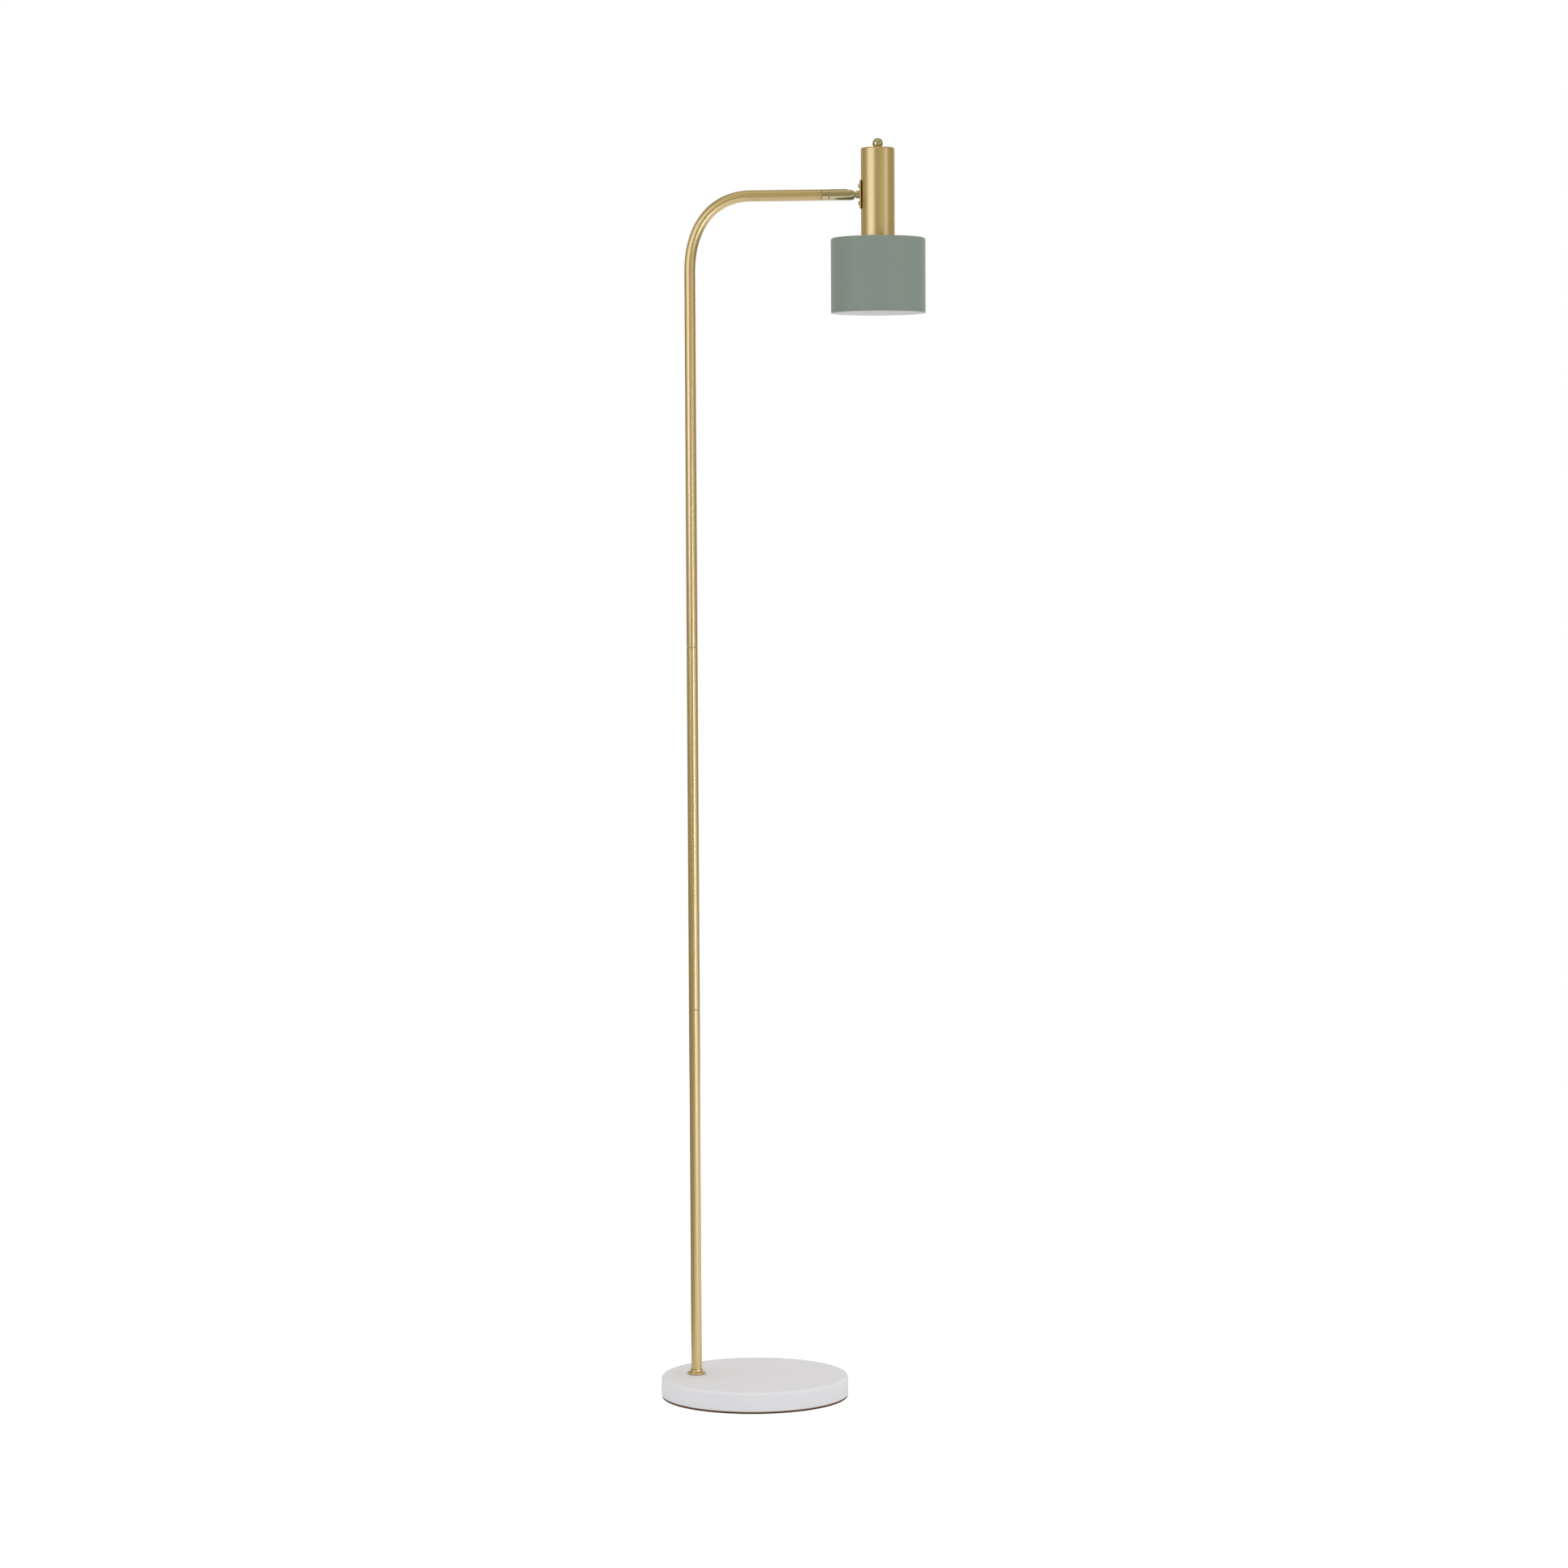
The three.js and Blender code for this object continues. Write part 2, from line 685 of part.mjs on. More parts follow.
function swivelHousing() {
  const rearHole = studRadius + gap;
  const boreFrom = housingBack + housingRearWall;
  const lipAngle = THREE.MathUtils.radToDeg(Math.acos(lipRadius / socketRadius));
  const mouthRadius = lipRadius + mouthFlare;
  const shell = turned(
    [
      [rearHole, housingBack],
      [housingRadius, housingBack],
      [housingRadius, housingFront - housingChamferLength],
      [mouthRadius + housingMouthWall, housingFront],
      [mouthRadius, housingFront],
      ...arc(0, 0, socketRadius, lipAngle, 0, 3),
      [socketRadius, boreFrom],
      [rearHole, boreFrom],
    ],
    mediumFacets,
  );
  return cut(shell, neckSlot());
}

// The slot in the top of the housing that the ball's neck swings up into; it ends round about the ball.
function neckSlot() {
  const outline = new THREE.Shape();
  outline.moveTo(housingFront + slack, -slotHalfWidth);
  outline.lineTo(housingFront + slack, slotHalfWidth);
  outline.lineTo(0, slotHalfWidth);
  outline.absarc(0, 0, slotHalfWidth, Math.PI / 2, (3 * Math.PI) / 2, false);
  const depth = housingRadius + slack;
  const slot = new THREE.ExtrudeGeometry(outline, { depth, bevelEnabled: false, curveSegments: 10 });
  return slot.rotateY(-Math.PI / 2);
}

function ballSeat() {
  const back = seatBack();
  const outer = socketRadius - gap;
  const bottomAngle = THREE.MathUtils.radToDeg(Math.acos(leadBore / socketRadius));
  // The cup stops short of the ball's neck where the neck stands straight up in the slot.
  const edgeAngle = THREE.MathUtils.radToDeg(Math.asin((ballNeckRadius + gap) / socketRadius));
  const cup = arc(0, 0, socketRadius, -bottomAngle, -edgeAngle, 4);
  const outline = [[leadBore, back], [outer, back], [outer, cup[cup.length - 1][1]], ...cup.reverse()];
  return turned(outline, smallFacets);
}

class SpringLine extends THREE.Curve {
  constructor(radius, from, to) {
    super();
    Object.assign(this, { radius, from, to });
  }

  getPoint(share, target = new THREE.Vector3()) {
    const angle = share * springTurns * 2 * Math.PI;
    const height = this.from + (this.to - this.from) * share;
    return target.set(this.radius * Math.cos(angle), this.radius * Math.sin(angle), height);
  }
}

function ballSpring() {
  const { from, to } = springRest();
  const radius = socketRadius - 2 * gap - springWireRadius;
  const line = new SpringLine(radius, from + springWireRadius, to - springWireRadius);
  return swept(line, springTurns * springStepsPerTurn, springWireRadius, 0, springFacets);
}

function addStem(parent) {
  const shoulder = bossStart - gap;
  const end = bossStart + bossLength + headPlateOuter - headFlat + headTubeWall - headFlatDepth - gap;
  const grooveMiddle = bossStart + bossLength / 2;
  const groove = spigotRadius - grooveDepth;
  const rear = THREE.MathUtils.radToDeg(Math.acos(leadBore / ballRadius));
  const front = THREE.MathUtils.radToDeg(Math.acos(ballNeckRadius / ballRadius));
  const stem = turned(
    [
      ...arc(0, 0, ballRadius, -rear, front, 8),
      [ballNeckRadius, shoulder],
      [spigotRadius, shoulder],
      [spigotRadius, grooveMiddle - grooveWidth / 2],
      [groove, grooveMiddle - grooveWidth / 2],
      [groove, grooveMiddle + grooveWidth / 2],
      [spigotRadius, grooveMiddle + grooveWidth / 2],
      [spigotRadius, end],
      [leadBore, end],
    ],
    tubeFacets,
  );
  piece("ball_stem", stem, polishedBrass, parent);
  const leadFrom = -ballRadius * Math.sin(THREE.MathUtils.degToRad(rear));
  piece("stem_lead", sleeve(leadRadius, 0, leadFrom + gap, end, leadFacets), leadPlastic, parent);
}

// ---- head, about the head tube's axis with the arm's height at zero ----

function addHead(parent) {
  piece("head_plate", headPlate(), brushedBrass, parent);
  const bossMiddle = -headPlateOuter - bossLength / 2;
  const screwTip = spigotRadius - grooveDepth + gap;
  const bossScrew = sleeve(bossScrewRadius, 0, screwTip, bossRadius).rotateX(Math.PI / 2);
  piece("boss_screw", bossScrew, brightSteel, parent).position.x = bossMiddle;

  [["upper", 1], ["lower", -1]].forEach(([name, side]) => {
    const screw = piece(`head_plate_screw_${name}`, headPlateScrew(), brushedBrass, parent);
    screw.position.set(-headPlateOuter, 0, (side * headPlateScrewPitch) / 2);
  });
  piece("backing_bar", backingBar(), zincPlate, parent);

  piece("head_tube", headTube(), brushedBrass, parent);
  piece("finial_ball", finial(), polishedBrass, parent);
  const rodTop = headTubeAbove + finialRise;
  const rod = sleeve(rodRadius, 0, holderTop - 2 * holderWall, rodTop, smallFacets);
  piece("holder_rod", rod, zincPlate, parent);
  const nutTop = headTubeAbove - headTubeWall - gap;
  const rodNut = hexNut(rodNutAcrossFlats, rodRadius + gap, nutTop - rodNutHeight, nutTop);
  piece("rod_nut", rodNut, zincPlate, parent);

  piece("head_lead", headLead(), leadPlastic, parent);
  addHolder(parent);
  piece("shade", shade(), sagePaint, parent);
  addBulb(parent);
}

function headPlate() {
  const halfWidth = headPlateWidth / 2;
  const halfHeight = headPlateHeight / 2;
  const round = headPlateCornerRadius;
  const outline = new THREE.Shape();
  outline.absarc(halfHeight - round, halfWidth - round, round, 0, Math.PI / 2, false);
  outline.absarc(round - halfHeight, halfWidth - round, round, Math.PI / 2, Math.PI, false);
  outline.absarc(round - halfHeight, round - halfWidth, round, Math.PI, 1.5 * Math.PI, false);
  outline.absarc(halfHeight - round, round - halfWidth, round, 1.5 * Math.PI, 2 * Math.PI, false);
  const depth = headPlateThickness;
  const plate = new THREE.ExtrudeGeometry(outline, { depth, bevelEnabled: false, curveSegments: 4 });
  plate.rotateY(Math.PI / 2).translate(-headPlateOuter, 0, 0);
  const boss = sleeve(bossRadius, 0, -bossLength, headPlateThickness / 2, tubeFacets);
  boss.rotateY(Math.PI / 2).translate(-headPlateOuter, 0, 0);
  const bossBore = alongHead(spigotRadius + gap, headPlateOuter + bossLength + slack, headPlateInner - slack);
  const screwHoles = [-1, 1].map((side) => plateScrewHole(side));
  const crossHole = sleeve(bossScrewRadius + gap, 0, 0, bossRadius + slack).rotateX(Math.PI / 2);
  crossHole.translate(-headPlateOuter - bossLength / 2, 0, 0);
  return cut(join(plate, boss), bossBore, crossHole, ...screwHoles);
}

// A round bar along X between two distances on the arm's side of the head's axis.
function alongHead(radius, far, near) {
  return sleeve(radius, 0, -far, -near, tubeFacets).rotateY(Math.PI / 2);
}

function plateScrewHole(side) {
  const hole = alongHead(headPlateScrewRadius + gap, headPlateOuter + slack, backingInner() - slack);
  return hole.translate(0, 0, (side * headPlateScrewPitch) / 2);
}

function backingOuter() {
  const bore = headTubeRadius - headTubeWall;
  return Math.sqrt(bore ** 2 - (backingBarWidth / 2) ** 2) - gap;
}

function backingInner() {
  return backingOuter() - backingBarThickness;
}

function headPlateScrew() {
  const rise = headPlateScrewHeadHeight;
  const sphere = (headPlateScrewHeadRadius ** 2 + rise ** 2) / (2 * rise);
  const edge = THREE.MathUtils.radToDeg(Math.acos(headPlateScrewHeadRadius / sphere));
  const shank = headPlateOuter - backingInner() + headPlateScrewRadius;
  const head = arc(0, rise + gap - sphere, sphere, edge, 90, 3).reverse();
  head[0][0] = 0;
  const outline = [...head, [headPlateScrewRadius, gap], [headPlateScrewRadius, -shank], [0, -shank]];
  return turned(outline, smallFacets).rotateY(-Math.PI / 2);
}

function backingBar() {
  const middle = -(backingOuter() + backingInner()) / 2;
  const bar = block(backingBarThickness, backingBarWidth, backingBarHeight, middle, 0, 0);
  const leadHole = alongHead(leadBore + gap, headTubeRadius, 0);
  return cut(bar, leadHole, plateScrewHole(-1), plateScrewHole(1));
}

function headTube() {
  const bore = headTubeRadius - headTubeWall;
  const edge = headTubeEdgeRadius;
  const innerEdge = Math.max(edge - headTubeWall, gap);
  const ceiling = headTubeAbove - headTubeWall;
  const shell = turned(
    [
      [0, ceiling],
      ...arc(bore - innerEdge, ceiling - innerEdge, innerEdge, 90, 0, 2),
      [bore, shadeTop + gap],
      [headTubeRadius, shadeTop + gap],
      ...arc(headTubeRadius - edge, headTubeAbove - edge, edge, 0, 90, 3),
      [0, headTubeAbove],
    ],
    mediumFacets,
  );
  const rodHole = sleeve(rodRadius + gap, 0, ceiling - slack, headTubeAbove + slack);
  const flatHeight = headPlateHeight + 2 * gap;
  const flat = block(headTubeRadius, 2 * headTubeRadius, flatHeight, -headFlat - headTubeRadius / 2, 0, 0);
  const stemHole = alongHead(spigotRadius + 2 * gap, headTubeRadius + slack, backingOuter());
  return cut(shell, rodHole, flat, stemHole, plateScrewHole(-1), plateScrewHole(1));
}

function finial() {
  const middle = headTubeAbove + finialRise;
  const foot = THREE.MathUtils.radToDeg(Math.asin((finialRise - gap) / finialRadius));
  const ball = arc(0, middle, finialRadius, -foot, 90, 7);
  ball[ball.length - 1][0] = 0;
  const footHeight = headTubeAbove + gap;
  const boreTop = middle + 2 * gap;
  const bore = rodRadius + gap;
  return turned([[0, boreTop], [bore, boreTop], [bore, footHeight], ...ball], tubeFacets);
}

function addHolder(parent) {
  const bore = holderBore;
  const skirtTop = holderBottom + holderSkirtHeight;
  const body = turned(
    [
      [0, holderTop],
      [holderTopRadius, holderTop],
      [holderRadius, skirtTop],
      [holderRadius, holderBottom],
      [bore, holderBottom],
      [bore, skirtTop - holderWall],
      [holderTopRadius - holderWall, holderTop - 2 * holderWall - gap],
      [0, holderTop - 2 * holderWall - gap],
    ],
    mediumFacets,
  );
  const rodHole = sleeve(rodRadius + gap, 0, skirtTop, holderTop + slack);
  const leadHole = sleeve(leadBore, 0, skirtTop, holderTop + slack).translate(-holderLeadOffset, 0, 0);
  piece("lamp_holder", cut(body, rodHole, leadHole), blackPlastic, parent);

  const shellOuter = screwShellBore + screwShellWall;
  const shellTop = bulbCapBottom + screwShellLength;
  const shell = turned(
    [
      [contactRadius + 2 * gap, shellTop + screwShellWall],
      [shellOuter, shellTop + screwShellWall],
      [shellOuter, bulbCapBottom],
      [screwShellBore, bulbCapBottom],
      [screwShellBore, shellTop],
      [contactRadius + 2 * gap, shellTop],
    ],
    tubeFacets,
  );
  piece("screw_shell", shell, polishedBrass, parent);
  const contactFrom = bulbCapBottom + bulbCapLength + bulbTipLength + gap;
  const contact = sleeve(contactRadius, 0, contactFrom, contactFrom + contactThickness);
  piece("centre_contact", contact, polishedBrass, parent);

  const ringTop = shadeTop - shadeWall - gap;
  const ringBore = holderRadius + gap;
  const ring = sleeve(ringBore + ringWall, ringBore, ringTop - ringThickness, ringTop, mediumFacets);
  piece("shade_ring", ring, blackPlastic, parent);
}

function shade() {
  const bottom = shadeTop - shadeHeight;
  const hole = holderRadius + gap;
  const inner = shadeRadius - shadeWall;
  const innerEdge = Math.max(shadeEdgeRadius - shadeWall, gap);
  const ceiling = shadeTop - shadeWall;
  return turned(
    [
      [hole, ceiling],
      ...arc(inner - innerEdge, ceiling - innerEdge, innerEdge, 90, 0, 2),
      [inner, bottom],
      [shadeRadius, bottom],
      ...arc(shadeRadius - shadeEdgeRadius, shadeTop - shadeEdgeRadius, shadeEdgeRadius, 0, 90, 3),
      [hole, shadeTop],
    ],
    largeFacets,
  );
}

function addBulb(parent) {
  const capTop = bulbCapBottom + bulbCapLength;
  const cap = turned(
    [
      [0, bulbCapBottom],
      [bulbCapRadius, bulbCapBottom],
      [bulbCapRadius, capTop - bulbTipLength],
      [bulbTipRadius, capTop],
      [bulbTipRadius / 2, capTop + bulbTipLength],
      [0, capTop + bulbTipLength],
    ],
    tubeFacets,
  );
  piece("bulb_cap", cap, brightSteel, parent);

  const glassTop = bulbCapBottom - gap;
  const globeMiddle = bulbCapBottom - bulbReach + bulbGlobeRadius;
  const neckAngle = THREE.MathUtils.radToDeg(Math.acos(bulbNeckRadius / bulbGlobeRadius));
  const innerAngle = THREE.MathUtils.radToDeg(
    Math.acos((bulbNeckRadius - bulbWall) / (bulbGlobeRadius - bulbWall)),
  );
  const outside = arc(0, globeMiddle, bulbGlobeRadius, -90, neckAngle, 9);
  const inside = arc(0, globeMiddle, bulbGlobeRadius - bulbWall, innerAngle, -90, 8);
  outside[0][0] = 0;
  inside[inside.length - 1][0] = 0;
  const neck = [[bulbNeckRadius, glassTop], [bulbNeckRadius - bulbWall, glassTop]];
  piece("bulb_glass", turned([...outside, ...neck, ...inside], mediumFacets), opalGlass, parent);
}

// The lead from the ball stem's end, through the backing bar and down into the top of the lamp holder.
function headLead() {
  const start = -headFlat + headTubeWall - headFlatDepth;
  const holderDrop = holderTop - holderWall;
  const line = new THREE.CatmullRomCurve3([
    new THREE.Vector3(start, 0, 0),
    new THREE.Vector3(-backingInner(), 0, 0),
    new THREE.Vector3(-backingInner() + leadDiameter, 0, -leadRadius),
    new THREE.Vector3(-holderLeadOffset - leadRadius, 0, holderTop / 2),
    new THREE.Vector3(-holderLeadOffset, 0, holderTop + leadDiameter / 2),
    new THREE.Vector3(-holderLeadOffset, 0, holderDrop),
  ]);
  return swept(line, 16, leadRadius, 0, leadFacets);
}

// ---- whole lamp ----

const lamp = new THREE.Group();
addBase(lamp);

const poleGroup = new THREE.Group();
poleGroup.position.x = -poleOffset;
addPole(poleGroup);
lamp.add(poleGroup);

// In the joint's own frame +Z points along the arm and -X is up.
const jointGroup = new THREE.Group();
jointGroup.position.set(armReach - poleOffset, 0, armHeight);
jointGroup.rotation.y = Math.PI / 2;
addArmEnd(jointGroup);
addSwivel(jointGroup);
addStem(jointGroup);
lamp.add(jointGroup);

const headGroup = new THREE.Group();
headGroup.position.set(armReach - poleOffset + headOffset, 0, armHeight);
addHead(headGroup);
lamp.add(headGroup);

export default lamp;
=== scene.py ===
import json
import math

import bmesh
import bpy
from mathutils import Matrix, Vector


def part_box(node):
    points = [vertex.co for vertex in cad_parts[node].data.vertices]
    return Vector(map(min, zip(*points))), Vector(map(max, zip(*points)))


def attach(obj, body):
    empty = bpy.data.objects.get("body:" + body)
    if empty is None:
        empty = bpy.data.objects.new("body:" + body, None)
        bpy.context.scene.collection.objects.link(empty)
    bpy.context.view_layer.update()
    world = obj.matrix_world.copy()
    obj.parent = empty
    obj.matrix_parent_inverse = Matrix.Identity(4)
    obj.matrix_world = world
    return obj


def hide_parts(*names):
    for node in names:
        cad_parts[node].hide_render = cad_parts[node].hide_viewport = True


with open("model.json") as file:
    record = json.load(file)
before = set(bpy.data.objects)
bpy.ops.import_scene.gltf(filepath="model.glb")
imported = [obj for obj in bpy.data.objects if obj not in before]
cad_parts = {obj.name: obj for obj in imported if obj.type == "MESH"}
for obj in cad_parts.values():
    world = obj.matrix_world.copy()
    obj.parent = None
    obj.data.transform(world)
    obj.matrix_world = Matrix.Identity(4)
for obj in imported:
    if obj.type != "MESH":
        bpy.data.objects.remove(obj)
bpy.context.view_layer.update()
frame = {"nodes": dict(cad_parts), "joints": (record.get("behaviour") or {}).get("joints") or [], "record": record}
mm = 0.001
print("frame loaded:", len(frame["nodes"]), "nodes")

# Degrees and metres; azimuth runs round the lamp from the front towards the arm.
cameraSetup = {
    "azimuth": 6.0, "distance": 5.253, "height": 1.0539, "yaw": -0.43, "pitchDown": 3.27, "roll": -0.29,
    "lens": 98.89, "sensor": 36.0, "near": 0.1, "far": 60,
}


def makeCamera():
    setup = cameraSetup
    azimuth = math.radians(setup["azimuth"])
    heading = azimuth + math.radians(setup["yaw"])
    pitch, roll = math.radians(setup["pitchDown"]), math.radians(setup["roll"])
    level = Vector((math.cos(heading), math.sin(heading), 0))
    ahead = Vector((-level.y * math.cos(pitch), level.x * math.cos(pitch), -math.sin(pitch)))
    square = level.cross(ahead)
    right = level * math.cos(roll) + square * math.sin(roll)
    up = square * math.cos(roll) - level * math.sin(roll)
    data = bpy.data.cameras.new("camera")
    data.lens, data.sensor_width = setup["lens"], setup["sensor"]
    data.clip_start, data.clip_end = setup["near"], setup["far"]
    camera = bpy.data.objects.new("camera", data)
    turn = Matrix((right, up, -ahead)).transposed().to_4x4()
    place = (setup["distance"] * math.sin(azimuth), -setup["distance"] * math.cos(azimuth), setup["height"])
    camera.matrix_world = Matrix.Translation(place) @ turn
    bpy.context.scene.collection.objects.link(camera)
    bpy.context.scene.camera = camera


makeCamera()
bpy.context.scene.view_settings.view_transform = "Standard"

# Soft boxes, seen only in glossy surfaces: side in degrees to the right of the camera, sizes in metres.
softBoxes = {
    "leftBox": {
        "aim": (0.05, 0, 1.85), "side": -50, "rise": 0, "distance": 1.9, "width": 1.9, "height": 1.7,
        "glow": 0.86, "tint": (0.91, 1.0, 1.36),
    },
    "leftStrip": {
        "aim": (-0.07, 0, 1.1), "side": -42, "rise": 0, "distance": 1.8, "width": 0.35, "height": 0.5,
        "glow": 2.6, "tint": (0.94, 1.0, 1.3),
    },
    "stripBox": {
        "aim": (-0.07, 0, 0.62), "side": 28, "rise": 0, "distance": 2.1, "width": 0.36, "height": 1.1,
        "glow": 4.9, "tint": (0.92, 1.0, 1.4),
    },
    "rightBox": {
        "aim": (0.15, 0, 1.8), "side": 55, "rise": 0, "distance": 2.2, "width": 1.0, "height": 1.2,
        "glow": 0.62, "tint": (0.97, 1.0, 1.2),
    },
    "lowBox": {
        "aim": (0.0, 0, 0.45), "side": 58, "rise": 0, "distance": 2.0, "width": 1.2, "height": 0.9,
        "glow": 0.6, "tint": (1.0, 1.0, 1.05),
    },
    "topBox": {
        "aim": (0.05, 0, 1.4), "side": 0, "rise": 78, "distance": 1.9, "width": 2.2, "height": 1.6,
        "glow": 0.32, "tint": (1.0, 1.0, 1.0),
    },
    "backBox": {
        "aim": (0.05, 0, 1.0), "side": 158, "rise": 4, "distance": 2.6, "width": 0.7, "height": 1.9,
        "glow": 1.0, "tint": (0.95, 1.0, 1.2),
    },
}


def makeSoftBoxes():
    front = math.radians(cameraSetup["azimuth"])
    for name, box in softBoxes.items():
        turn, rise = front + math.radians(box["side"]), math.radians(box["rise"])
        out = Vector((math.sin(turn) * math.cos(rise), -math.cos(turn) * math.cos(rise), math.sin(rise)))
        data = bpy.data.lights.new(name, "AREA")
        data.shape, data.size, data.size_y = "RECTANGLE", box["width"], box["height"]
        data.energy = box["glow"] * math.pi * box["width"] * box["height"]
        data.color = box["tint"]
        lamp = bpy.data.objects.new(name, data)
        lamp.location = Vector(box["aim"]) + out * box["distance"]
        lamp.rotation_mode = "QUATERNION"
        lamp.rotation_quaternion = out.to_track_quat("Z", "Y")
        lamp.visible_camera = lamp.visible_diffuse = False
        bpy.context.scene.collection.objects.link(lamp)


makeSoftBoxes()
print("camera and soft boxes ready")


def addNode(tree, kind, **settings):
    made = tree.nodes.new(kind)
    for key, value in settings.items():
        setattr(made, key, value)
    return made


def feed(tree, socket, value):
    if isinstance(value, bpy.types.NodeSocket):
        tree.links.new(value, socket)
    elif value is not None:
        socket.default_value = value


def compute(tree, operation, first, second=None, clamp=False):
    made = addNode(tree, "ShaderNodeMath", operation=operation, use_clamp=clamp)
    feed(tree, made.inputs[0], first)
    feed(tree, made.inputs[1], second)
    return made.outputs[0]


def plus(tree, first, second):
    return compute(tree, "ADD", first, second)


def times(tree, first, second):
    return compute(tree, "MULTIPLY", first, second)


def dotProduct(tree, first, second):
    made = addNode(tree, "ShaderNodeVectorMath", operation="DOT_PRODUCT")
    feed(tree, made.inputs[0], first)
    feed(tree, made.inputs[1], second)
    return made.outputs["Value"]


def splitVector(tree, vector):
    made = addNode(tree, "ShaderNodeSeparateXYZ")
    feed(tree, made.inputs[0], vector)
    return made.outputs


def joinVector(tree, *parts):
    made = addNode(tree, "ShaderNodeCombineXYZ")
    for socket, part in zip(made.inputs, parts):
        feed(tree, socket, part)
    return made.outputs[0]


def noiseAt(tree, vector, scale, detail=2.0, roughness=0.5):
    made = addNode(tree, "ShaderNodeTexNoise")
    for key, value in (("Vector", vector), ("Scale", scale), ("Detail", detail), ("Roughness", roughness)):
        feed(tree, made.inputs[key], value)
    return made.outputs["Fac"]


def remap(tree, value, fromLow, fromHigh, toLow=0.0, toHigh=1.0):
    made = addNode(tree, "ShaderNodeMapRange")
    for socket, number in zip(made.inputs, (value, fromLow, fromHigh, toLow, toHigh)):
        feed(tree, socket, number)
    return made.outputs[0]


mixSockets = {"FLOAT": (2, 0), "VECTOR": (4, 1), "RGBA": (6, 2)}  # first input and output for each kind


def mix(tree, factor, first, second, kind="RGBA"):
    made = addNode(tree, "ShaderNodeMix", data_type=kind)
    start, result = mixSockets[kind]
    feed(tree, made.inputs[0], factor)
    feed(tree, made.inputs[start], first)
    feed(tree, made.inputs[start + 1], second)
    return made.outputs[result]


def newGroup(name, settings, results):
    # Each effect takes a place on the piece and some plain numbers, and gives values.
    tree = bpy.data.node_groups.new(name, "ShaderNodeTree")
    tree.interface.new_socket("Vector", in_out="INPUT", socket_type="NodeSocketVector")
    for key, value in settings.items():
        tree.interface.new_socket(key, in_out="INPUT", socket_type="NodeSocketFloat").default_value = value
    for key in results:
        tree.interface.new_socket(key, in_out="OUTPUT", socket_type="NodeSocketFloat")
    return tree, tree.nodes.new("NodeGroupInput").outputs, tree.nodes.new("NodeGroupOutput").inputs


def useGroup(tree, group, **values):
    made = addNode(tree, "ShaderNodeGroup", node_tree=group)
    for key, value in values.items():
        feed(tree, made.inputs[key], value)
    return made.outputs


def makeBrushing():
    # Fine lines along a piece's own Z, or round it where Round is 1.
    settings = {"Lines": 2600.0, "Stretch": 0.012, "Round": 0.0}
    tree, given, out = newGroup("brushing", settings, ["Streaks", "Height"])
    x, y, z = splitVector(tree, given["Vector"])
    across = compute(tree, "SQRT", plus(tree, times(tree, x, x), times(tree, y, y)))
    along = joinVector(tree, x, y, times(tree, z, given["Stretch"]))
    about = joinVector(tree, across, times(tree, x, given["Stretch"]), z)
    path = mix(tree, given["Round"], along, about, "VECTOR")
    fine = noiseAt(tree, path, given["Lines"], 2.0, 0.6)
    broad = noiseAt(tree, path, times(tree, given["Lines"], 0.17))
    both = plus(tree, times(tree, fine, 0.6), times(tree, broad, 0.4))
    feed(tree, out["Streaks"], remap(tree, both, 0.32, 0.68))
    feed(tree, out["Height"], fine)
    return tree


def makeEdgeWear():
    # Masks the outer edges, where a rounded normal leaves the face's own normal.
    tree, given, out = newGroup("edgeWear", {"Width": 0.0006, "Breakup": 900.0}, ["Mask"])
    rounded = addNode(tree, "ShaderNodeBevel", samples=4)
    feed(tree, rounded.inputs["Radius"], given["Width"])
    plain = addNode(tree, "ShaderNodeNewGeometry")
    facing = dotProduct(tree, rounded.outputs[0], plain.outputs["Normal"])
    edge = remap(tree, facing, 0.995, 0.86)
    patchy = remap(tree, noiseAt(tree, given["Vector"], given["Breakup"], 3.0, 0.6), 0.4, 0.62, 0.15, 1.0)
    feed(tree, out["Mask"], compute(tree, "MULTIPLY", edge, patchy, clamp=True))
    return tree


def makeHandling():
    # Soft clouds and a few small smears that change the gloss a little.
    tree, given, out = newGroup("handling", {"Size": 14.0}, ["Clouds", "Smears"])
    feed(tree, out["Clouds"], remap(tree, noiseAt(tree, given["Vector"], given["Size"], 3.0, 0.55), 0.3, 0.7))
    finer = times(tree, given["Size"], 6.0)
    feed(tree, out["Smears"], remap(tree, noiseAt(tree, given["Vector"], finer, 4.0, 0.6), 0.52, 0.7))
    return tree


def makePowderCoat():
    # Orange peel with finer grit on it.
    tree, given, out = newGroup("powderCoat", {"Peel": 650.0, "Grit": 3200.0}, ["Height", "Specks", "Tone"])
    peel = noiseAt(tree, given["Vector"], given["Peel"])
    grit = noiseAt(tree, given["Vector"], given["Grit"], 2.0, 0.65)
    feed(tree, out["Height"], plus(tree, times(tree, peel, 0.7), times(tree, grit, 0.3)))
    feed(tree, out["Specks"], remap(tree, grit, 0.42, 0.68))
    feed(tree, out["Tone"], remap(tree, noiseAt(tree, given["Vector"], 22.0, 3.0), 0.3, 0.7))
    return tree


def makeMouldGrain():
    # The fine spark-eroded skin of moulded plastic and rubber.
    tree, given, out = newGroup("mouldGrain", {"Scale": 1800.0}, ["Height", "Tone"])
    cells = addNode(tree, "ShaderNodeTexVoronoi")
    feed(tree, cells.inputs["Vector"], given["Vector"])
    feed(tree, cells.inputs["Scale"], given["Scale"])
    soft = noiseAt(tree, given["Vector"], times(tree, given["Scale"], 0.35), 3.0, 0.6)
    feed(tree, out["Height"], plus(tree, times(tree, cells.outputs["Distance"], 0.5), soft))
    feed(tree, out["Tone"], remap(tree, soft, 0.3, 0.7))
    return tree


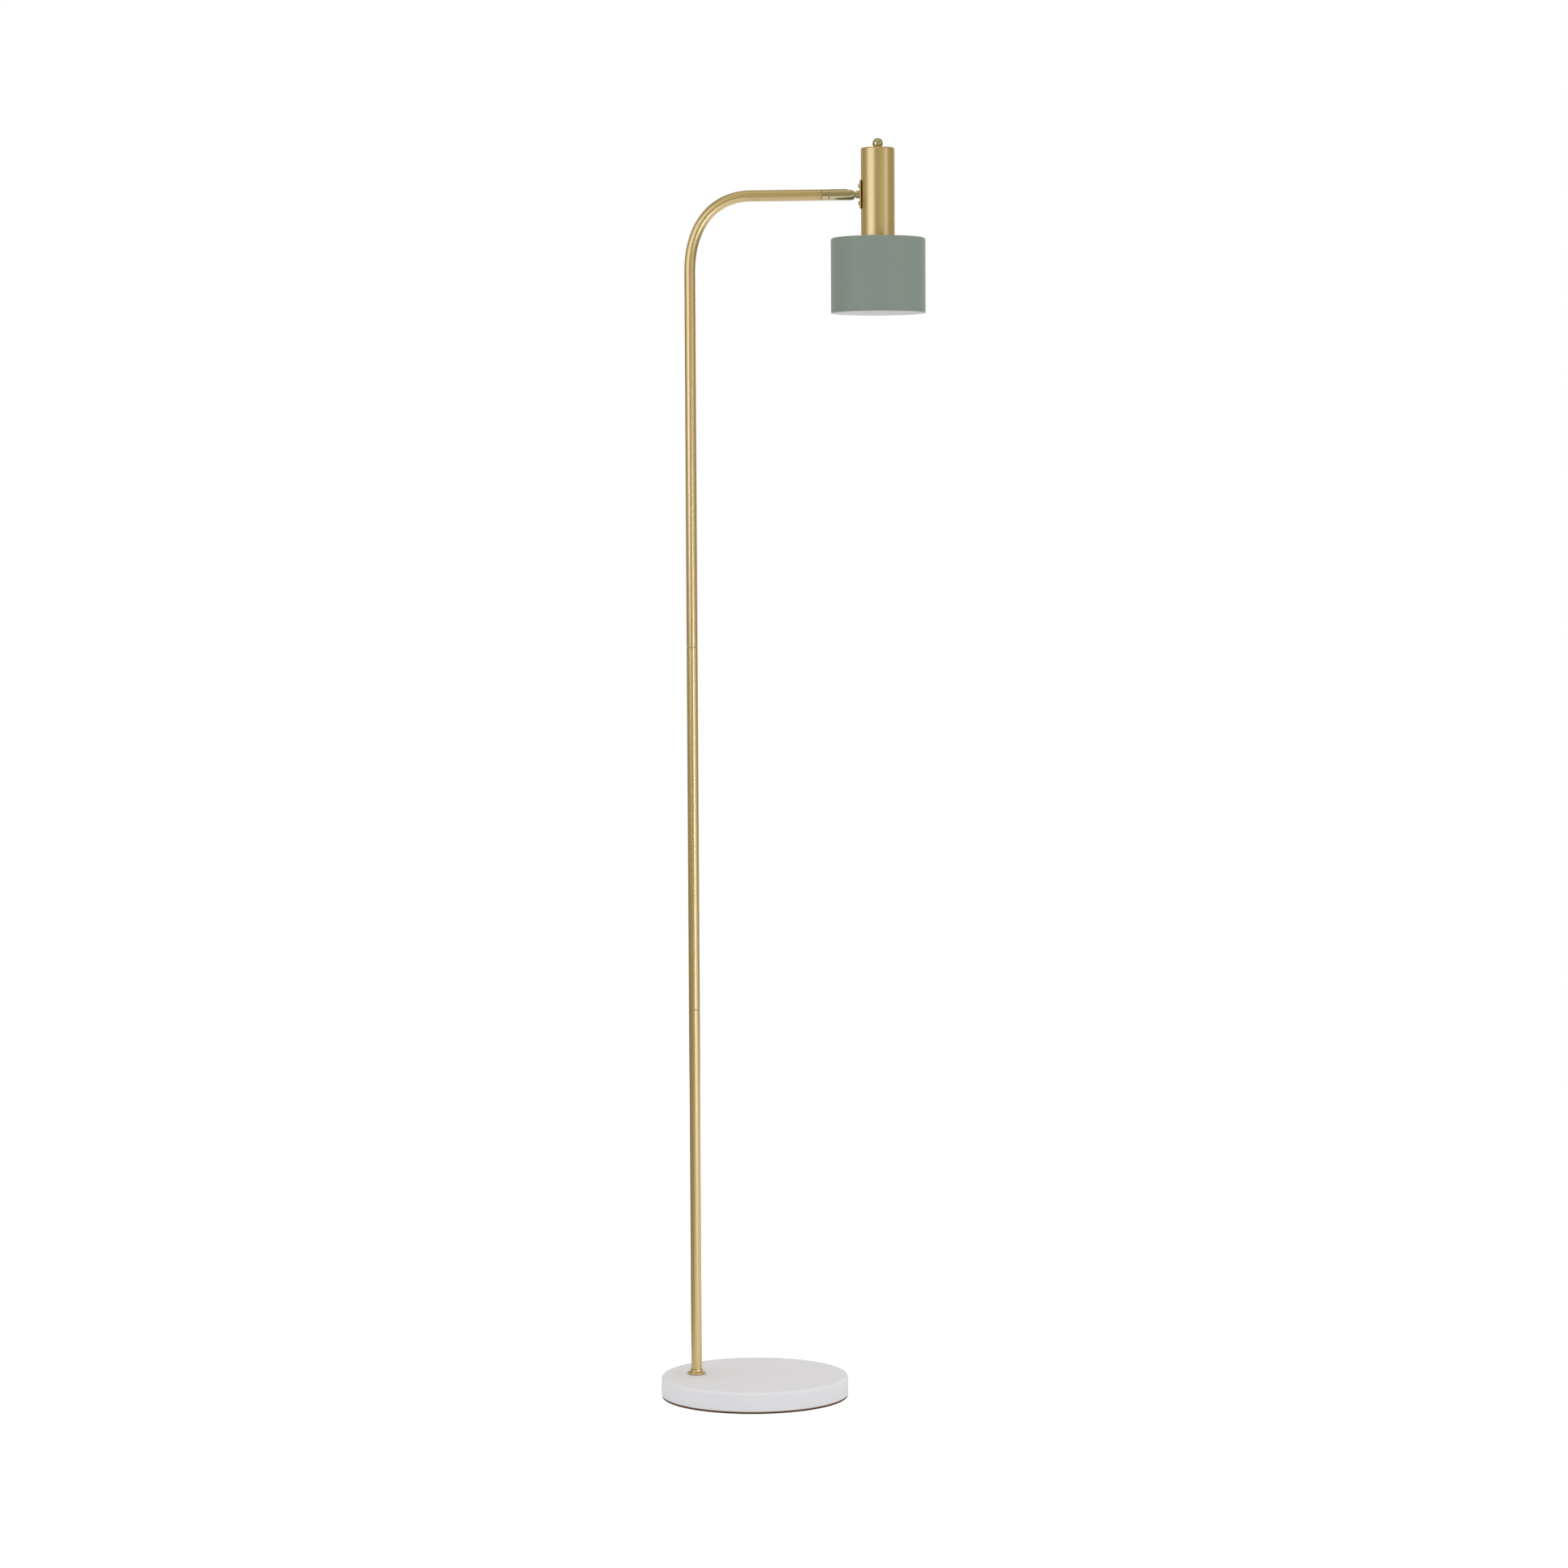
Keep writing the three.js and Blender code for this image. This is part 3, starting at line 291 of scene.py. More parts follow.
brushing, edgeWear, handling = makeBrushing(), makeEdgeWear(), makeHandling()
powderCoat, mouldGrain = makePowderCoat(), makeMouldGrain()
print("shared effects ready")


def startMaterial(name, **settings):
    # Plain numbers and colours go straight onto the shader's own sockets.
    material = bpy.data.materials.new(name)
    material.use_nodes = True
    shader = material.node_tree.nodes["Principled BSDF"]
    for key, value in settings.items():
        shader.inputs[key.replace("_", " ")].default_value = value
    return material, material.node_tree, shader


def coordinates(tree, own):
    # Pieces made here carry their own lengthwise coordinates; carried-over solids use the object's.
    if own:
        return addNode(tree, "ShaderNodeAttribute", attribute_name="pieceSpace").outputs["Vector"]
    return addNode(tree, "ShaderNodeTexCoord").outputs["Object"]


def addBump(tree, shader, height, look):
    made = addNode(tree, "ShaderNodeBump")
    made.inputs["Strength"].default_value = look["bump"]
    made.inputs["Distance"].default_value = look["bumpDepth"]
    feed(tree, made.inputs["Height"], height)
    feed(tree, shader.inputs["Normal"], made.outputs[0])


def opaque(colour):
    return (*colour, 1.0)


def coverSurface(tree, shader, look, space, colour, roughness, height):
    # Rubs the edges towards the bare colour, then sets the gloss and the fine relief.
    worn = useGroup(tree, edgeWear, Vector=space, Width=look["wearWidth"])["Mask"]
    edged = mix(tree, times(tree, worn, look["wear"]), colour, opaque(look["bare"]))
    feed(tree, shader.inputs["Base Color"], edged)
    feed(tree, shader.inputs["Roughness"], roughness)
    addBump(tree, shader, height, look)


def makeMetal(name, given, own):
    look = {**plainMetal, **given}
    material, tree, shader = startMaterial(
        name, Metallic=1.0, Coat_Weight=look["lacquer"], Coat_Roughness=look["lacquerRoughness"],
        Coat_IOR=look["lacquerIor"],
    )
    space = coordinates(tree, own)
    lines = useGroup(
        tree, brushing, Vector=space, Lines=look["lines"], Stretch=look["stretch"], Round=look["round"],
    )
    touched = useGroup(tree, handling, Vector=space, Size=look["cloudSize"])
    tone = mix(tree, lines["Streaks"], opaque(look["dark"]), opaque(look["light"]))
    clouded = mix(tree, times(tree, touched["Clouds"], look["clouding"]), tone, opaque(look["cloud"]))
    low, high = look["roughness"]
    streaked = times(tree, lines["Streaks"], (high - low) * 0.6)
    smeared = times(tree, touched["Smears"], (high - low) * 0.4)
    roughness = plus(tree, plus(tree, streaked, smeared), low)
    coverSurface(tree, shader, look, space, clouded, roughness, lines["Height"])
    return material


def makePaint(name, look, own):
    material, tree, shader = startMaterial(
        name, Specular_IOR_Level=look["gloss"], Sheen_Weight=look["sheen"],
        Sheen_Roughness=look["sheenRoughness"],
    )
    space = coordinates(tree, own)
    coat = useGroup(tree, powderCoat, Vector=space, Peel=look["peel"], Grit=look["grit"])
    tone = mix(tree, coat["Tone"], opaque(look["colour"]), opaque(look["shifted"]))
    specked = mix(tree, times(tree, coat["Specks"], look["specks"]), tone, opaque(look["speck"]))
    roughness = remap(tree, coat["Specks"], 0.0, 1.0, *look["roughness"])
    coverSurface(tree, shader, look, space, specked, roughness, coat["Height"])
    return material


def makeMoulded(name, look, own):
    material, tree, shader = startMaterial(name, Specular_IOR_Level=look["gloss"])
    space = coordinates(tree, own)
    skin = useGroup(tree, mouldGrain, Vector=space, Scale=look["grain"])
    tone = mix(tree, skin["Tone"], opaque(look["dark"]), opaque(look["light"]))
    roughness = remap(tree, skin["Tone"], 0.0, 1.0, *look["roughness"])
    coverSurface(tree, shader, look, space, tone, roughness, skin["Height"])
    if "upperBand" in look:  # a thin brown band along the upper edge
        height = splitVector(tree, space)[2]
        foam = shader.inputs["Base Color"].links[0].from_socket
        banded = remap(tree, height, look["upperBandFrom"], look["upperBandTo"])
        feed(tree, shader.inputs["Base Color"], mix(tree, banded, foam, opaque(look["upperBand"])))
    return material


def makeOpalGlass(name, look, own):
    # White flashed glass: a milky body under a clear skin.
    material, tree, shader = startMaterial(
        name, Subsurface_Weight=look["milk"], Subsurface_Scale=look["milkDepth"], Coat_Weight=look["skin"],
        Coat_Roughness=look["skinRoughness"],
    )
    milk = useGroup(tree, handling, Vector=coordinates(tree, own), Size=look["flow"])
    white = mix(tree, milk["Clouds"], opaque(look["white"]), opaque(look["cool"]))
    feed(tree, shader.inputs["Base Color"], white)
    feed(tree, shader.inputs["Roughness"], remap(tree, milk["Smears"], 0.0, 1.0, *look["roughness"]))
    addBump(tree, shader, milk["Clouds"], look)
    return material


# What a metal has unless its own look says otherwise.
plainMetal = {"round": 0.0, "lacquer": 0.0, "lacquerRoughness": 0.1, "lacquerIor": 1.5}
metalLooks = {
    "satinBrass": {
        "dark": (0.67, 0.472, 0.148), "light": (0.725, 0.525, 0.185), "cloud": (0.68, 0.50, 0.18),
        "bare": (0.84, 0.68, 0.38), "lines": 2600, "stretch": 0.012, "cloudSize": 16,
        "clouding": 0.25, "wear": 0.6, "wearWidth": 0.0005, "roughness": (0.34, 0.42),
        "bump": 0.015, "bumpDepth": 0.0002, "lacquer": 1.0, "lacquerRoughness": 0.22, "lacquerIor": 2.15,
    },
    "brightBrass": {
        "dark": (0.57, 0.50, 0.27), "light": (0.65, 0.57, 0.33), "cloud": (0.56, 0.51, 0.31),
        "bare": (0.86, 0.78, 0.55), "lines": 4200, "stretch": 0.02, "round": 1.0, "cloudSize": 60,
        "clouding": 0.3, "wear": 0.5, "wearWidth": 0.0004, "roughness": (0.11, 0.19),
        "bump": 0.015, "bumpDepth": 0.0001, "lacquer": 0.6, "lacquerRoughness": 0.05,
    },
    "zincPlate": {
        "dark": (0.36, 0.365, 0.36), "light": (0.50, 0.505, 0.49), "cloud": (0.47, 0.46, 0.40),
        "bare": (0.62, 0.62, 0.62), "lines": 1500, "stretch": 0.4, "cloudSize": 90,
        "clouding": 0.45, "wear": 0.5, "wearWidth": 0.0004, "roughness": (0.32, 0.48),
        "bump": 0.15, "bumpDepth": 0.0002,
    },
    "drawnSteel": {
        "dark": (0.40, 0.41, 0.43), "light": (0.52, 0.53, 0.55), "cloud": (0.44, 0.44, 0.45),
        "bare": (0.70, 0.70, 0.71), "lines": 3000, "stretch": 0.05, "cloudSize": 80,
        "clouding": 0.3, "wear": 0.4, "wearWidth": 0.0003, "roughness": (0.22, 0.34),
        "bump": 0.12, "bumpDepth": 0.0001,
    },
    "castIron": {
        "dark": (0.07, 0.07, 0.073), "light": (0.13, 0.128, 0.125), "cloud": (0.12, 0.095, 0.075),
        "bare": (0.30, 0.29, 0.28), "lines": 420, "stretch": 1.0, "cloudSize": 30,
        "clouding": 0.5, "wear": 0.5, "wearWidth": 0.001, "roughness": (0.55, 0.8),
        "bump": 0.6, "bumpDepth": 0.0008,
    },
    "capAluminium": {
        "dark": (0.55, 0.55, 0.56), "light": (0.66, 0.66, 0.66), "cloud": (0.60, 0.60, 0.60),
        "bare": (0.80, 0.80, 0.80), "lines": 2400, "stretch": 0.05, "round": 1.0, "cloudSize": 80,
        "clouding": 0.3, "wear": 0.4, "wearWidth": 0.0003, "roughness": (0.28, 0.42),
        "bump": 0.12, "bumpDepth": 0.0001,
    },
}
paintLooks = {
    "whiteCoat": {
        "colour": (0.745, 0.734, 0.752), "shifted": (0.76, 0.749, 0.767), "speck": (0.71, 0.70, 0.717),
        "bare": (0.80, 0.79, 0.785), "specks": 0.35, "peel": 650, "grit": 3200, "wear": 0.25,
        "wearWidth": 0.0008, "gloss": 0.16, "roughness": (0.4, 0.5), "bump": 0.22, "bumpDepth": 0.0003,
        "sheen": 0.0, "sheenRoughness": 0.35,
    },
    "sageCoat": {
        "colour": (0.204, 0.247, 0.211), "shifted": (0.214, 0.257, 0.22), "speck": (0.179, 0.218, 0.186),
        "bare": (0.33, 0.36, 0.33), "specks": 0.4, "peel": 800, "grit": 3600, "wear": 0.35,
        "wearWidth": 0.0005, "gloss": 0.35, "roughness": (0.5, 0.62), "bump": 0.3, "bumpDepth": 0.0003,
        "sheen": 0.3, "sheenRoughness": 0.35,
    },
    "liningCoat": {
        "colour": (0.88, 0.865, 0.855), "shifted": (0.90, 0.885, 0.875), "speck": (0.85, 0.835, 0.825),
        "bare": (0.86, 0.85, 0.84), "specks": 0.3, "peel": 800, "grit": 3600, "wear": 0.2,
        "wearWidth": 0.0005, "gloss": 0.3, "roughness": (0.55, 0.68), "bump": 0.3, "bumpDepth": 0.0003,
        "sheen": 0.0, "sheenRoughness": 0.35,
    },
}
mouldedLooks = {
    "padFoam": {
        "dark": (0.014, 0.0135, 0.013), "light": (0.032, 0.030, 0.028), "bare": (0.06, 0.055, 0.05),
        "grain": 900, "wear": 0.3, "wearWidth": 0.0004, "gloss": 0.2, "roughness": (0.85, 0.97),
        "bump": 0.5, "bumpDepth": 0.0005, "upperBand": (0.46, 0.20, 0.08), "upperBandFrom": 0.0015, "upperBandTo": 0.0017,
    },
    "inletRubber": {
        "dark": (0.016, 0.016, 0.016), "light": (0.028, 0.028, 0.028), "bare": (0.06, 0.06, 0.06),
        "grain": 1500, "wear": 0.3, "wearWidth": 0.0003, "gloss": 0.3, "roughness": (0.6, 0.75),
        "bump": 0.3, "bumpDepth": 0.0002,
    },
    "holderPlastic": {
        "dark": (0.016, 0.016, 0.017), "light": (0.027, 0.027, 0.028), "bare": (0.05, 0.05, 0.05),
        "grain": 1700, "wear": 0.4, "wearWidth": 0.0003, "gloss": 0.5, "roughness": (0.38, 0.52),
        "bump": 0.25, "bumpDepth": 0.0002,
    },
    "terminalPlastic": {
        "dark": (0.76, 0.75, 0.71), "light": (0.82, 0.81, 0.77), "bare": (0.88, 0.87, 0.84),
        "grain": 1400, "wear": 0.3, "wearWidth": 0.0003, "gloss": 0.5, "roughness": (0.3, 0.42),
        "bump": 0.15, "bumpDepth": 0.0002,
    },
    "leadSheath": {
        "dark": (0.63, 0.61, 0.55), "light": (0.71, 0.69, 0.63), "bare": (0.78, 0.76, 0.72),
        "grain": 2200, "wear": 0.2, "wearWidth": 0.0002, "gloss": 0.4, "roughness": (0.42, 0.55),
        "bump": 0.15, "bumpDepth": 0.0001,
    },
    "seatNylon": {
        "dark": (0.74, 0.73, 0.68), "light": (0.81, 0.80, 0.75), "bare": (0.88, 0.87, 0.84),
        "grain": 1800, "wear": 0.2, "wearWidth": 0.0002, "gloss": 0.4, "roughness": (0.4, 0.55),
        "bump": 0.15, "bumpDepth": 0.0001,
    },
}
glassLooks = {
    "opalGlass": {
        "white": (0.90, 0.89, 0.86), "cool": (0.86, 0.87, 0.87), "flow": 45.0, "roughness": (0.2, 0.3),
        "milk": 0.35, "milkDepth": 0.004, "skin": 0.6, "skinRoughness": 0.04, "bump": 0.05, "bumpDepth": 0.0003,
    },
}
slotFinishes = {
    "base_paint": "whiteCoat", "pad_foam": "padFoam", "inlet_rubber": "inletRubber", "pole_brass": "satinBrass",
    "bright_brass": "brightBrass", "spring_steel": "drawnSteel", "shade_paint": "sageCoat",
    "shade_lining": "liningCoat", "holder_plastic": "holderPlastic", "cap_aluminium": "capAluminium",
    "bulb_opal": "opalGlass", "weight_iron": "castIron", "zinc_plate": "zincPlate",
    "terminal_plastic": "terminalPlastic", "lead_sheath": "leadSheath", "seat_nylon": "seatNylon",
}
finishKinds = (
    (makeMetal, metalLooks), (makePaint, paintLooks), (makeMoulded, mouldedLooks), (makeOpalGlass, glassLooks),
)
finishes = {}


def finishFor(slotName, own=True):
    # A finish is made the first time it is asked for; carried-over solids have their own copy of it.
    look = slotFinishes[slotName]
    name = look if own else look + "Solid"
    if name not in finishes:
        make, looks = next(kind for kind in finishKinds if look in kind[1])
        finishes[name] = make(name, looks[look], own)
    return finishes[name]


def roundCorners(outline, closed, steps):
    # An outline is a list of (radius, height, corner radius) in millimetres about +Z.
    points = []
    for index, corner in enumerate(outline):
        here = Vector(corner[:2])
        size = corner[2] if len(corner) > 2 else 0
        if size <= 0 or (not closed and index in (0, len(outline) - 1)):
            points.append(here)
            continue
        before = Vector(outline[index - 1][:2]) - here
        after = Vector(outline[(index + 1) % len(outline)][:2]) - here
        half = before.angle(after) / 2
        back = min(size / math.tan(half), before.length * 0.49, after.length * 0.49)
        if back < 0.001 or half > 1.55:  # too small to round, or hardly a corner
            points.append(here)
            continue
        radius = back * math.tan(half)
        middle = here + (before.normalized() + after.normalized()).normalized() * (radius / math.sin(half))
        start, end = here + before.normalized() * back - middle, here + after.normalized() * back - middle
        sweep = start.angle(end)
        for step in range(steps + 1):
            share = step / steps
            pull = (math.sin((1 - share) * sweep) * start + math.sin(share * sweep) * end) / math.sin(sweep)
            points.append(middle + pull)
    return points


def arcPoints(radius, height, size, fromDegrees, toDegrees, steps):
    turns = [math.radians(fromDegrees + (toDegrees - fromDegrees) * step / steps) for step in range(steps + 1)]
    return [(radius + size * math.cos(turn), height + size * math.sin(turn)) for turn in turns]


def addRing(builder, count, place):
    return [builder.verts.new(place(2 * math.pi * index / count)) for index in range(count)]


def bridge(builder, lower, upper):
    # A band of faces between two rings; a ring of one point makes a fan.
    for index in range(max(len(lower), len(upper))):
        after = (index + 1) % max(len(lower), len(upper))
        if len(lower) == 1:
            builder.faces.new((lower[0], upper[index], upper[after]))
        elif len(upper) == 1:
            builder.faces.new((lower[index], lower[after], upper[0]))
        else:
            builder.faces.new((lower[index], lower[after], upper[after], upper[index]))


def linkMesh(name, builder, closed=True):
    if closed:
        bmesh.ops.recalc_face_normals(builder, faces=builder.faces)
    mesh = bpy.data.meshes.new(name)
    builder.to_mesh(mesh)
    builder.free()
    made = bpy.data.objects.new(name, mesh)
    bpy.context.scene.collection.objects.link(made)
    return made


def turnedPiece(name, outline, segments=128, steps=4, shape=None):
    # shape(angle, height, radius) may change a point's radius, for ribs and threads.
    onAxis = outline[0][0] == 0
    builder = bmesh.new()
    rings = []
    for radius, height in roundCorners(outline, not onAxis, steps):

        def place(angle):
            reach = (shape(angle, height, radius) if shape else radius) * mm
            return reach * math.cos(angle), reach * math.sin(angle), height * mm

        if radius < 1e-6:
            rings.append([builder.verts.new((0, 0, height * mm))])
        else:
            rings.append(addRing(builder, segments, place))
    for lower, upper in zip(rings, rings[1:]):
        bridge(builder, lower, upper)
    if not onAxis:
        bridge(builder, rings[-1], rings[0])
    return linkMesh(name, builder)


def prismPiece(name, corners, low, high):
    # A closed prism about +Z from corner points in millimetres.
    builder = bmesh.new()
    floor = [builder.verts.new((x * mm, y * mm, low * mm)) for x, y in corners]
    roof = [builder.verts.new((x * mm, y * mm, high * mm)) for x, y in corners]
    builder.faces.new(floor)
    builder.faces.new(roof)
    bridge(builder, floor, roof)
    return linkMesh(name, builder)


def boxCorners(lowX, lowY, highX, highY):
    return [(lowX, lowY), (highX, lowY), (highX, highY), (lowX, highY)]


def roundedRectangle(halfX, halfY, corner, steps=8):
    points = []
    for signX, signY, start in ((1, 1, 0), (-1, 1, 90), (-1, -1, 180), (1, -1, 270)):
        x, y = signX * (halfX - corner), signY * (halfY - corner)
        points += arcPoints(x, y, corner, start, start + 90, steps)
    return points


def move(made, matrix):
    made.data.transform(matrix)
    return made


def drill(radius, low, high, place=Matrix.Identity(4), segments=48):
    # A plain round cutter about +Z.
    return move(turnedPiece("drill", [(0, low), (radius, low), (radius, high), (0, high)], segments), place)


def combine(made, *tools, operation="DIFFERENCE"):
    for tool in tools:
        step = made.modifiers.new("combine", "BOOLEAN")
        step.operation, step.object, step.solver = operation, tool, "EXACT"
    bpy.context.view_layer.update()
    graph = bpy.context.evaluated_depsgraph_get()
    mesh = bpy.data.meshes.new_from_object(made.evaluated_get(graph))
    made.modifiers.clear()
    made.data = mesh
    for tool in tools:
        bpy.data.objects.remove(tool)
    return made


def writeSpace(mesh, points):
    layer = mesh.attributes.new("pieceSpace", "FLOAT_VECTOR", "POINT")
    layer.data.foreach_set("vector", [value for point in points for value in point])


def fitPiece(made, body, slotName, nodes, place=Matrix.Identity(4), crease=32):
    # Writes the piece's own coordinates, sets it in the lamp's frame and gives it its body and its slot's finish.
    mesh = made.data
    if "pieceSpace" not in mesh.attributes:
        writeSpace(mesh, [vertex.co[:] for vertex in mesh.vertices])
    mesh.transform(place)
    mesh.materials.clear()
    mesh.materials.append(finishFor(slotName))
    mesh.shade_smooth()
    mesh.set_sharp_from_angle(angle=math.radians(crease))
    made.modifiers.new("faceNormals", "WEIGHTED_NORMAL").keep_sharp = True
    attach(made, body)
    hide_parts(*nodes)


def middleOf(node):
    low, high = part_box(node)
    return (low + high) / 2


def heights(node):
    low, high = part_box(node)
    return low.z / mm, high.z / mm


def upright(node):
    # Places a piece made about +Z with true heights on a node's own vertical axis.
    middle = middleOf(node)
    return Matrix.Translation((middle.x, middle.y, 0))


burr = 0.1  # the least that a machined corner is broken by
past = 2  # how far a cutter runs past the face it cuts
poleAxis = middleOf("lower_pole").x
polePlace = Matrix.Translation((poleAxis, 0, 0))
headPlace = upright("lamp_holder")
ballMiddle = Vector(next(row for row in frame["joints"] if row["name"] == "head_tilt")["pos_m"])
# Made about +Z with the ball's middle at zero, then laid along the arm with local -X up.
alongArm = Matrix.Translation(ballMiddle) @ Matrix.Rotation(math.pi / 2, 4, "Y")

coverShape = {
    "radius": 115.0, "wall": 1.5, "edge": 3.5, "lip": 0.6, "innerLip": 0.5, "rodHole": 4.3, "inletHole": 4.7,
    "facets": 288,
}


def inletPlace():
    # The bush points straight out of the base through the cover's wall.
    middle = middleOf("cord_inlet_bush")
    turn = Matrix.Rotation(math.atan2(middle.y, middle.x), 4, "Z")
    return Matrix.Translation((0, 0, middle.z)) @ turn @ Matrix.Rotation(math.pi / 2, 4, "Y")


def makeCover():
    shape = coverShape
    low, high = heights("base_cover")
    inner, ceiling = shape["radius"] - shape["wall"], high - shape["wall"]
    outline = [
        (0, ceiling), (inner, ceiling, shape["edge"] - shape["wall"]), (inner, low, shape["innerLip"]),
        (shape["radius"], low, shape["lip"]), (shape["radius"], high, shape["edge"]), (0, high),
    ]
    cover = turnedPiece("baseCover", outline, shape["facets"], steps=8)
    combine(
        cover,
        drill(shape["rodHole"], ceiling - past, high + past, polePlace),
        drill(shape["inletHole"], inner - past, shape["radius"] + past, inletPlace(), 64),
    )
    fitPiece(cover, "stand", "base_paint", ["base_cover"])


padShape = {"radius": 114.0, "edge": 0.45, "facets": 288}


def makePad():
    shape = padShape
    low, high = heights("base_pad")
    radius, edge = shape["radius"], shape["edge"]
    outline = [(0, low), (radius, low, edge), (radius, high, edge / 2), (0, high)]
    fitPiece(turnedPiece("basePad", outline, shape["facets"]), "stand", "pad_foam", ["base_pad"])


bushShape = {
    "bore": 3.1, "neck": 4.3, "flange": 6.6, "thickness": 1.5, "edge": 0.6, "mouth": 0.8, "backMouth": 0.4,
}


def makeBush():
    # Two soft flanges either side of the wall, and a short neck between them.
    shape = bushShape
    place = inletPlace()
    spread = [(place.inverted() @ point.co).z / mm for point in frame["nodes"]["cord_inlet_bush"].data.vertices]
    back, front = min(spread), max(spread)
    bore, flange, edge, thick = shape["bore"], shape["flange"], shape["edge"], shape["thickness"]
    outline = [
        (bore, back, shape["backMouth"]), (flange, back, edge), (flange, back + thick, edge),
        (shape["neck"], back + thick, 3 * burr), (shape["neck"], front - thick, 3 * burr),
        (flange, front - thick, edge), (flange, front, edge), (bore, front, shape["mouth"]),
    ]
    fitPiece(turnedPiece("inletBush", outline, 96), "stand", "inlet_rubber", ["cord_inlet_bush"], place)


makeCover()
makePad()
makeBush()
print("base ready")

poleShape = {"radius": 6.75, "bore": 5.75, "edge": 0.35, "facets": 96}
bendShape = {"reach": 74.3, "drop": 90.5, "fullness": 0.61, "steps": 96}  # millimetres along and down
crimpShape = {"back": 3.5, "width": 0.5, "depth": 0.22, "edge": 0.7}  # the line rolled in near the arm's end
startRim = ((0, 1), (0.3, 0.3), (1, 0))  # how far along and how far in, as shares of the edge
tipRim = ((1, 0), (0.6, 0.08), (0.3, 0.3), (0.08, 0.6), (0, 1))


def makeStraightPole(name, node):
    shape = poleShape
    low, high = heights(node)
    outline = [
        (shape["bore"], low), (shape["radius"], low, shape["edge"]),
        (shape["radius"], high, shape["edge"]), (shape["bore"], high),
    ]
    fitPiece(turnedPiece(name, outline, shape["facets"]), "stand", "pole_brass", [node], upright(node))


def bendPoint(share):
    # A soft bend that leaves the pole and meets the arm straight on.
    top = middleOf("arm_collar").z / mm
    start = Vector((0, 0, top - bendShape["drop"]))
    rise = Vector((0, 0, start.z + bendShape["fullness"] * bendShape["drop"]))
    reach = Vector((bendShape["reach"] * (1 - bendShape["fullness"]), 0, top))
    end = Vector((bendShape["reach"], 0, top))
    rest = 1 - share
    return start * rest**3 + rise * 3 * rest**2 * share + reach * 3 * rest * share**2 + end * share**3


def bendStations():
    # Middle, heading and outer radius of each ring, from the pole's lower end to the arm's tip.
    crimp, outer, edge = crimpShape, poleShape["radius"], poleShape["edge"]
    up, across = Vector((0, 0, 1)), Vector((1, 0, 0))
    low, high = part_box("upper_pole")
    line = [Vector((0, 0, low.z / mm))]
    line += [bendPoint(step / bendShape["steps"]) for step in range(bendShape["steps"] + 1)]
    line.append(Vector(((high.x - poleAxis) / mm, 0, line[-1].z)))
    stations = [(line[0] + up * edge * along, up, outer - edge * dip) for along, dip in startRim]
    for index in range(1, len(line) - 1):
        heading = (line[index + 1] - line[index - 1]).normalized()
        if index in (1, len(line) - 2):
            heading = up if index == 1 else across
        stations.append((line[index], heading, outer))
    profile = [(crimp["back"] + crimp["width"], 0), (crimp["back"] + crimp["width"] / 2, crimp["depth"])]
    profile += [(crimp["back"], 0)] + [(crimp["edge"] * along, crimp["edge"] * dip) for along, dip in tipRim]
    return stations + [(line[-1] - across * back, across, outer - dip) for back, dip in profile]


def makeBentPole():
    builder = bmesh.new()
    outside, inside, space = [], [], []
    stations = bendStations()
    travelled = stations[0][0].z
    for number, (centre, heading, radius) in enumerate(stations):
        travelled += (centre - stations[number - 1][0]).length if number else 0
        lift = Vector((heading.z, 0, -heading.x))
        for rings, size in ((outside, radius), (inside, poleShape["bore"])):

            def place(angle):
                x, y = size * math.cos(angle), size * math.sin(angle)
                space.append((x * mm, y * mm, travelled * mm))
                return (centre + lift * x + Vector((0, 1, 0)) * y) * mm

            rings.append(addRing(builder, poleShape["facets"], place))
    for rings in (outside, inside):
        for lower, upper in zip(rings, rings[1:]):
            bridge(builder, lower, upper)
    bridge(builder, outside[0], inside[0])
    bridge(builder, outside[-1], inside[-1])
    pole = linkMesh("upperPole", builder)
    writeSpace(pole.data, space)
    fitPiece(pole, "stand", "pole_brass", ["upper_pole"], polePlace)


flangeShape = {
    "bore": 7.05, "bead": 11.3, "beadHeight": 2.6, "beadTurn": 75, "shoulder": 9.1, "neck": 7.62, "edge": 0.3,
    "flareSteps": 10,
}


def makeFootFlange():
    # A rounded bead on the base, a small step, then a hollow flare up to the pole.
    shape = flangeShape
    low, high = heights("foot_flange")
    curl, neck, edge = shape["beadHeight"] / 2, shape["neck"], shape["edge"]
    bead = arcPoints(shape["bead"] - curl, low + curl, curl, -90, shape["beadTurn"], 12)
    rise = high - low - shape["beadHeight"] - edge - burr
    flare = []
    for step in range(shape["flareSteps"] + 1):
        turn = math.pi / 2 * step / shape["flareSteps"]
        radius = neck + (shape["shoulder"] - neck) * (1 - math.sin(turn))
        flare.append((radius, high - edge - rise * math.cos(turn)))
    outline = [(shape["bore"], low), *bead, *flare, (neck, high, edge), (shape["bore"], high, burr)]
    flange = turnedPiece("footFlange", outline)
    fitPiece(flange, "stand", "pole_brass", ["foot_flange"], upright("foot_flange"), crease=40)


makeStraightPole("lowerPole", "lower_pole")
makeStraightPole("middlePole", "middle_pole")
makeBentPole()
makeFootFlange()
print("pole ready")

collarShape = {"radius": 6.7, "bore": 3.5, "back": -33.5, "front": -24.6, "edge": 0.45}


def makeCollar():
    shape = collarShape
    outline = [
        (shape["bore"], shape["back"], 2 * burr), (shape["radius"], shape["back"], shape["edge"]),
        (shape["radius"], shape["front"], shape["edge"]), (shape["bore"], shape["front"], 2 * burr),
    ]
    fitPiece(turnedPiece("armCollar", outline), "stand", "bright_brass", ["arm_collar"], alongArm)


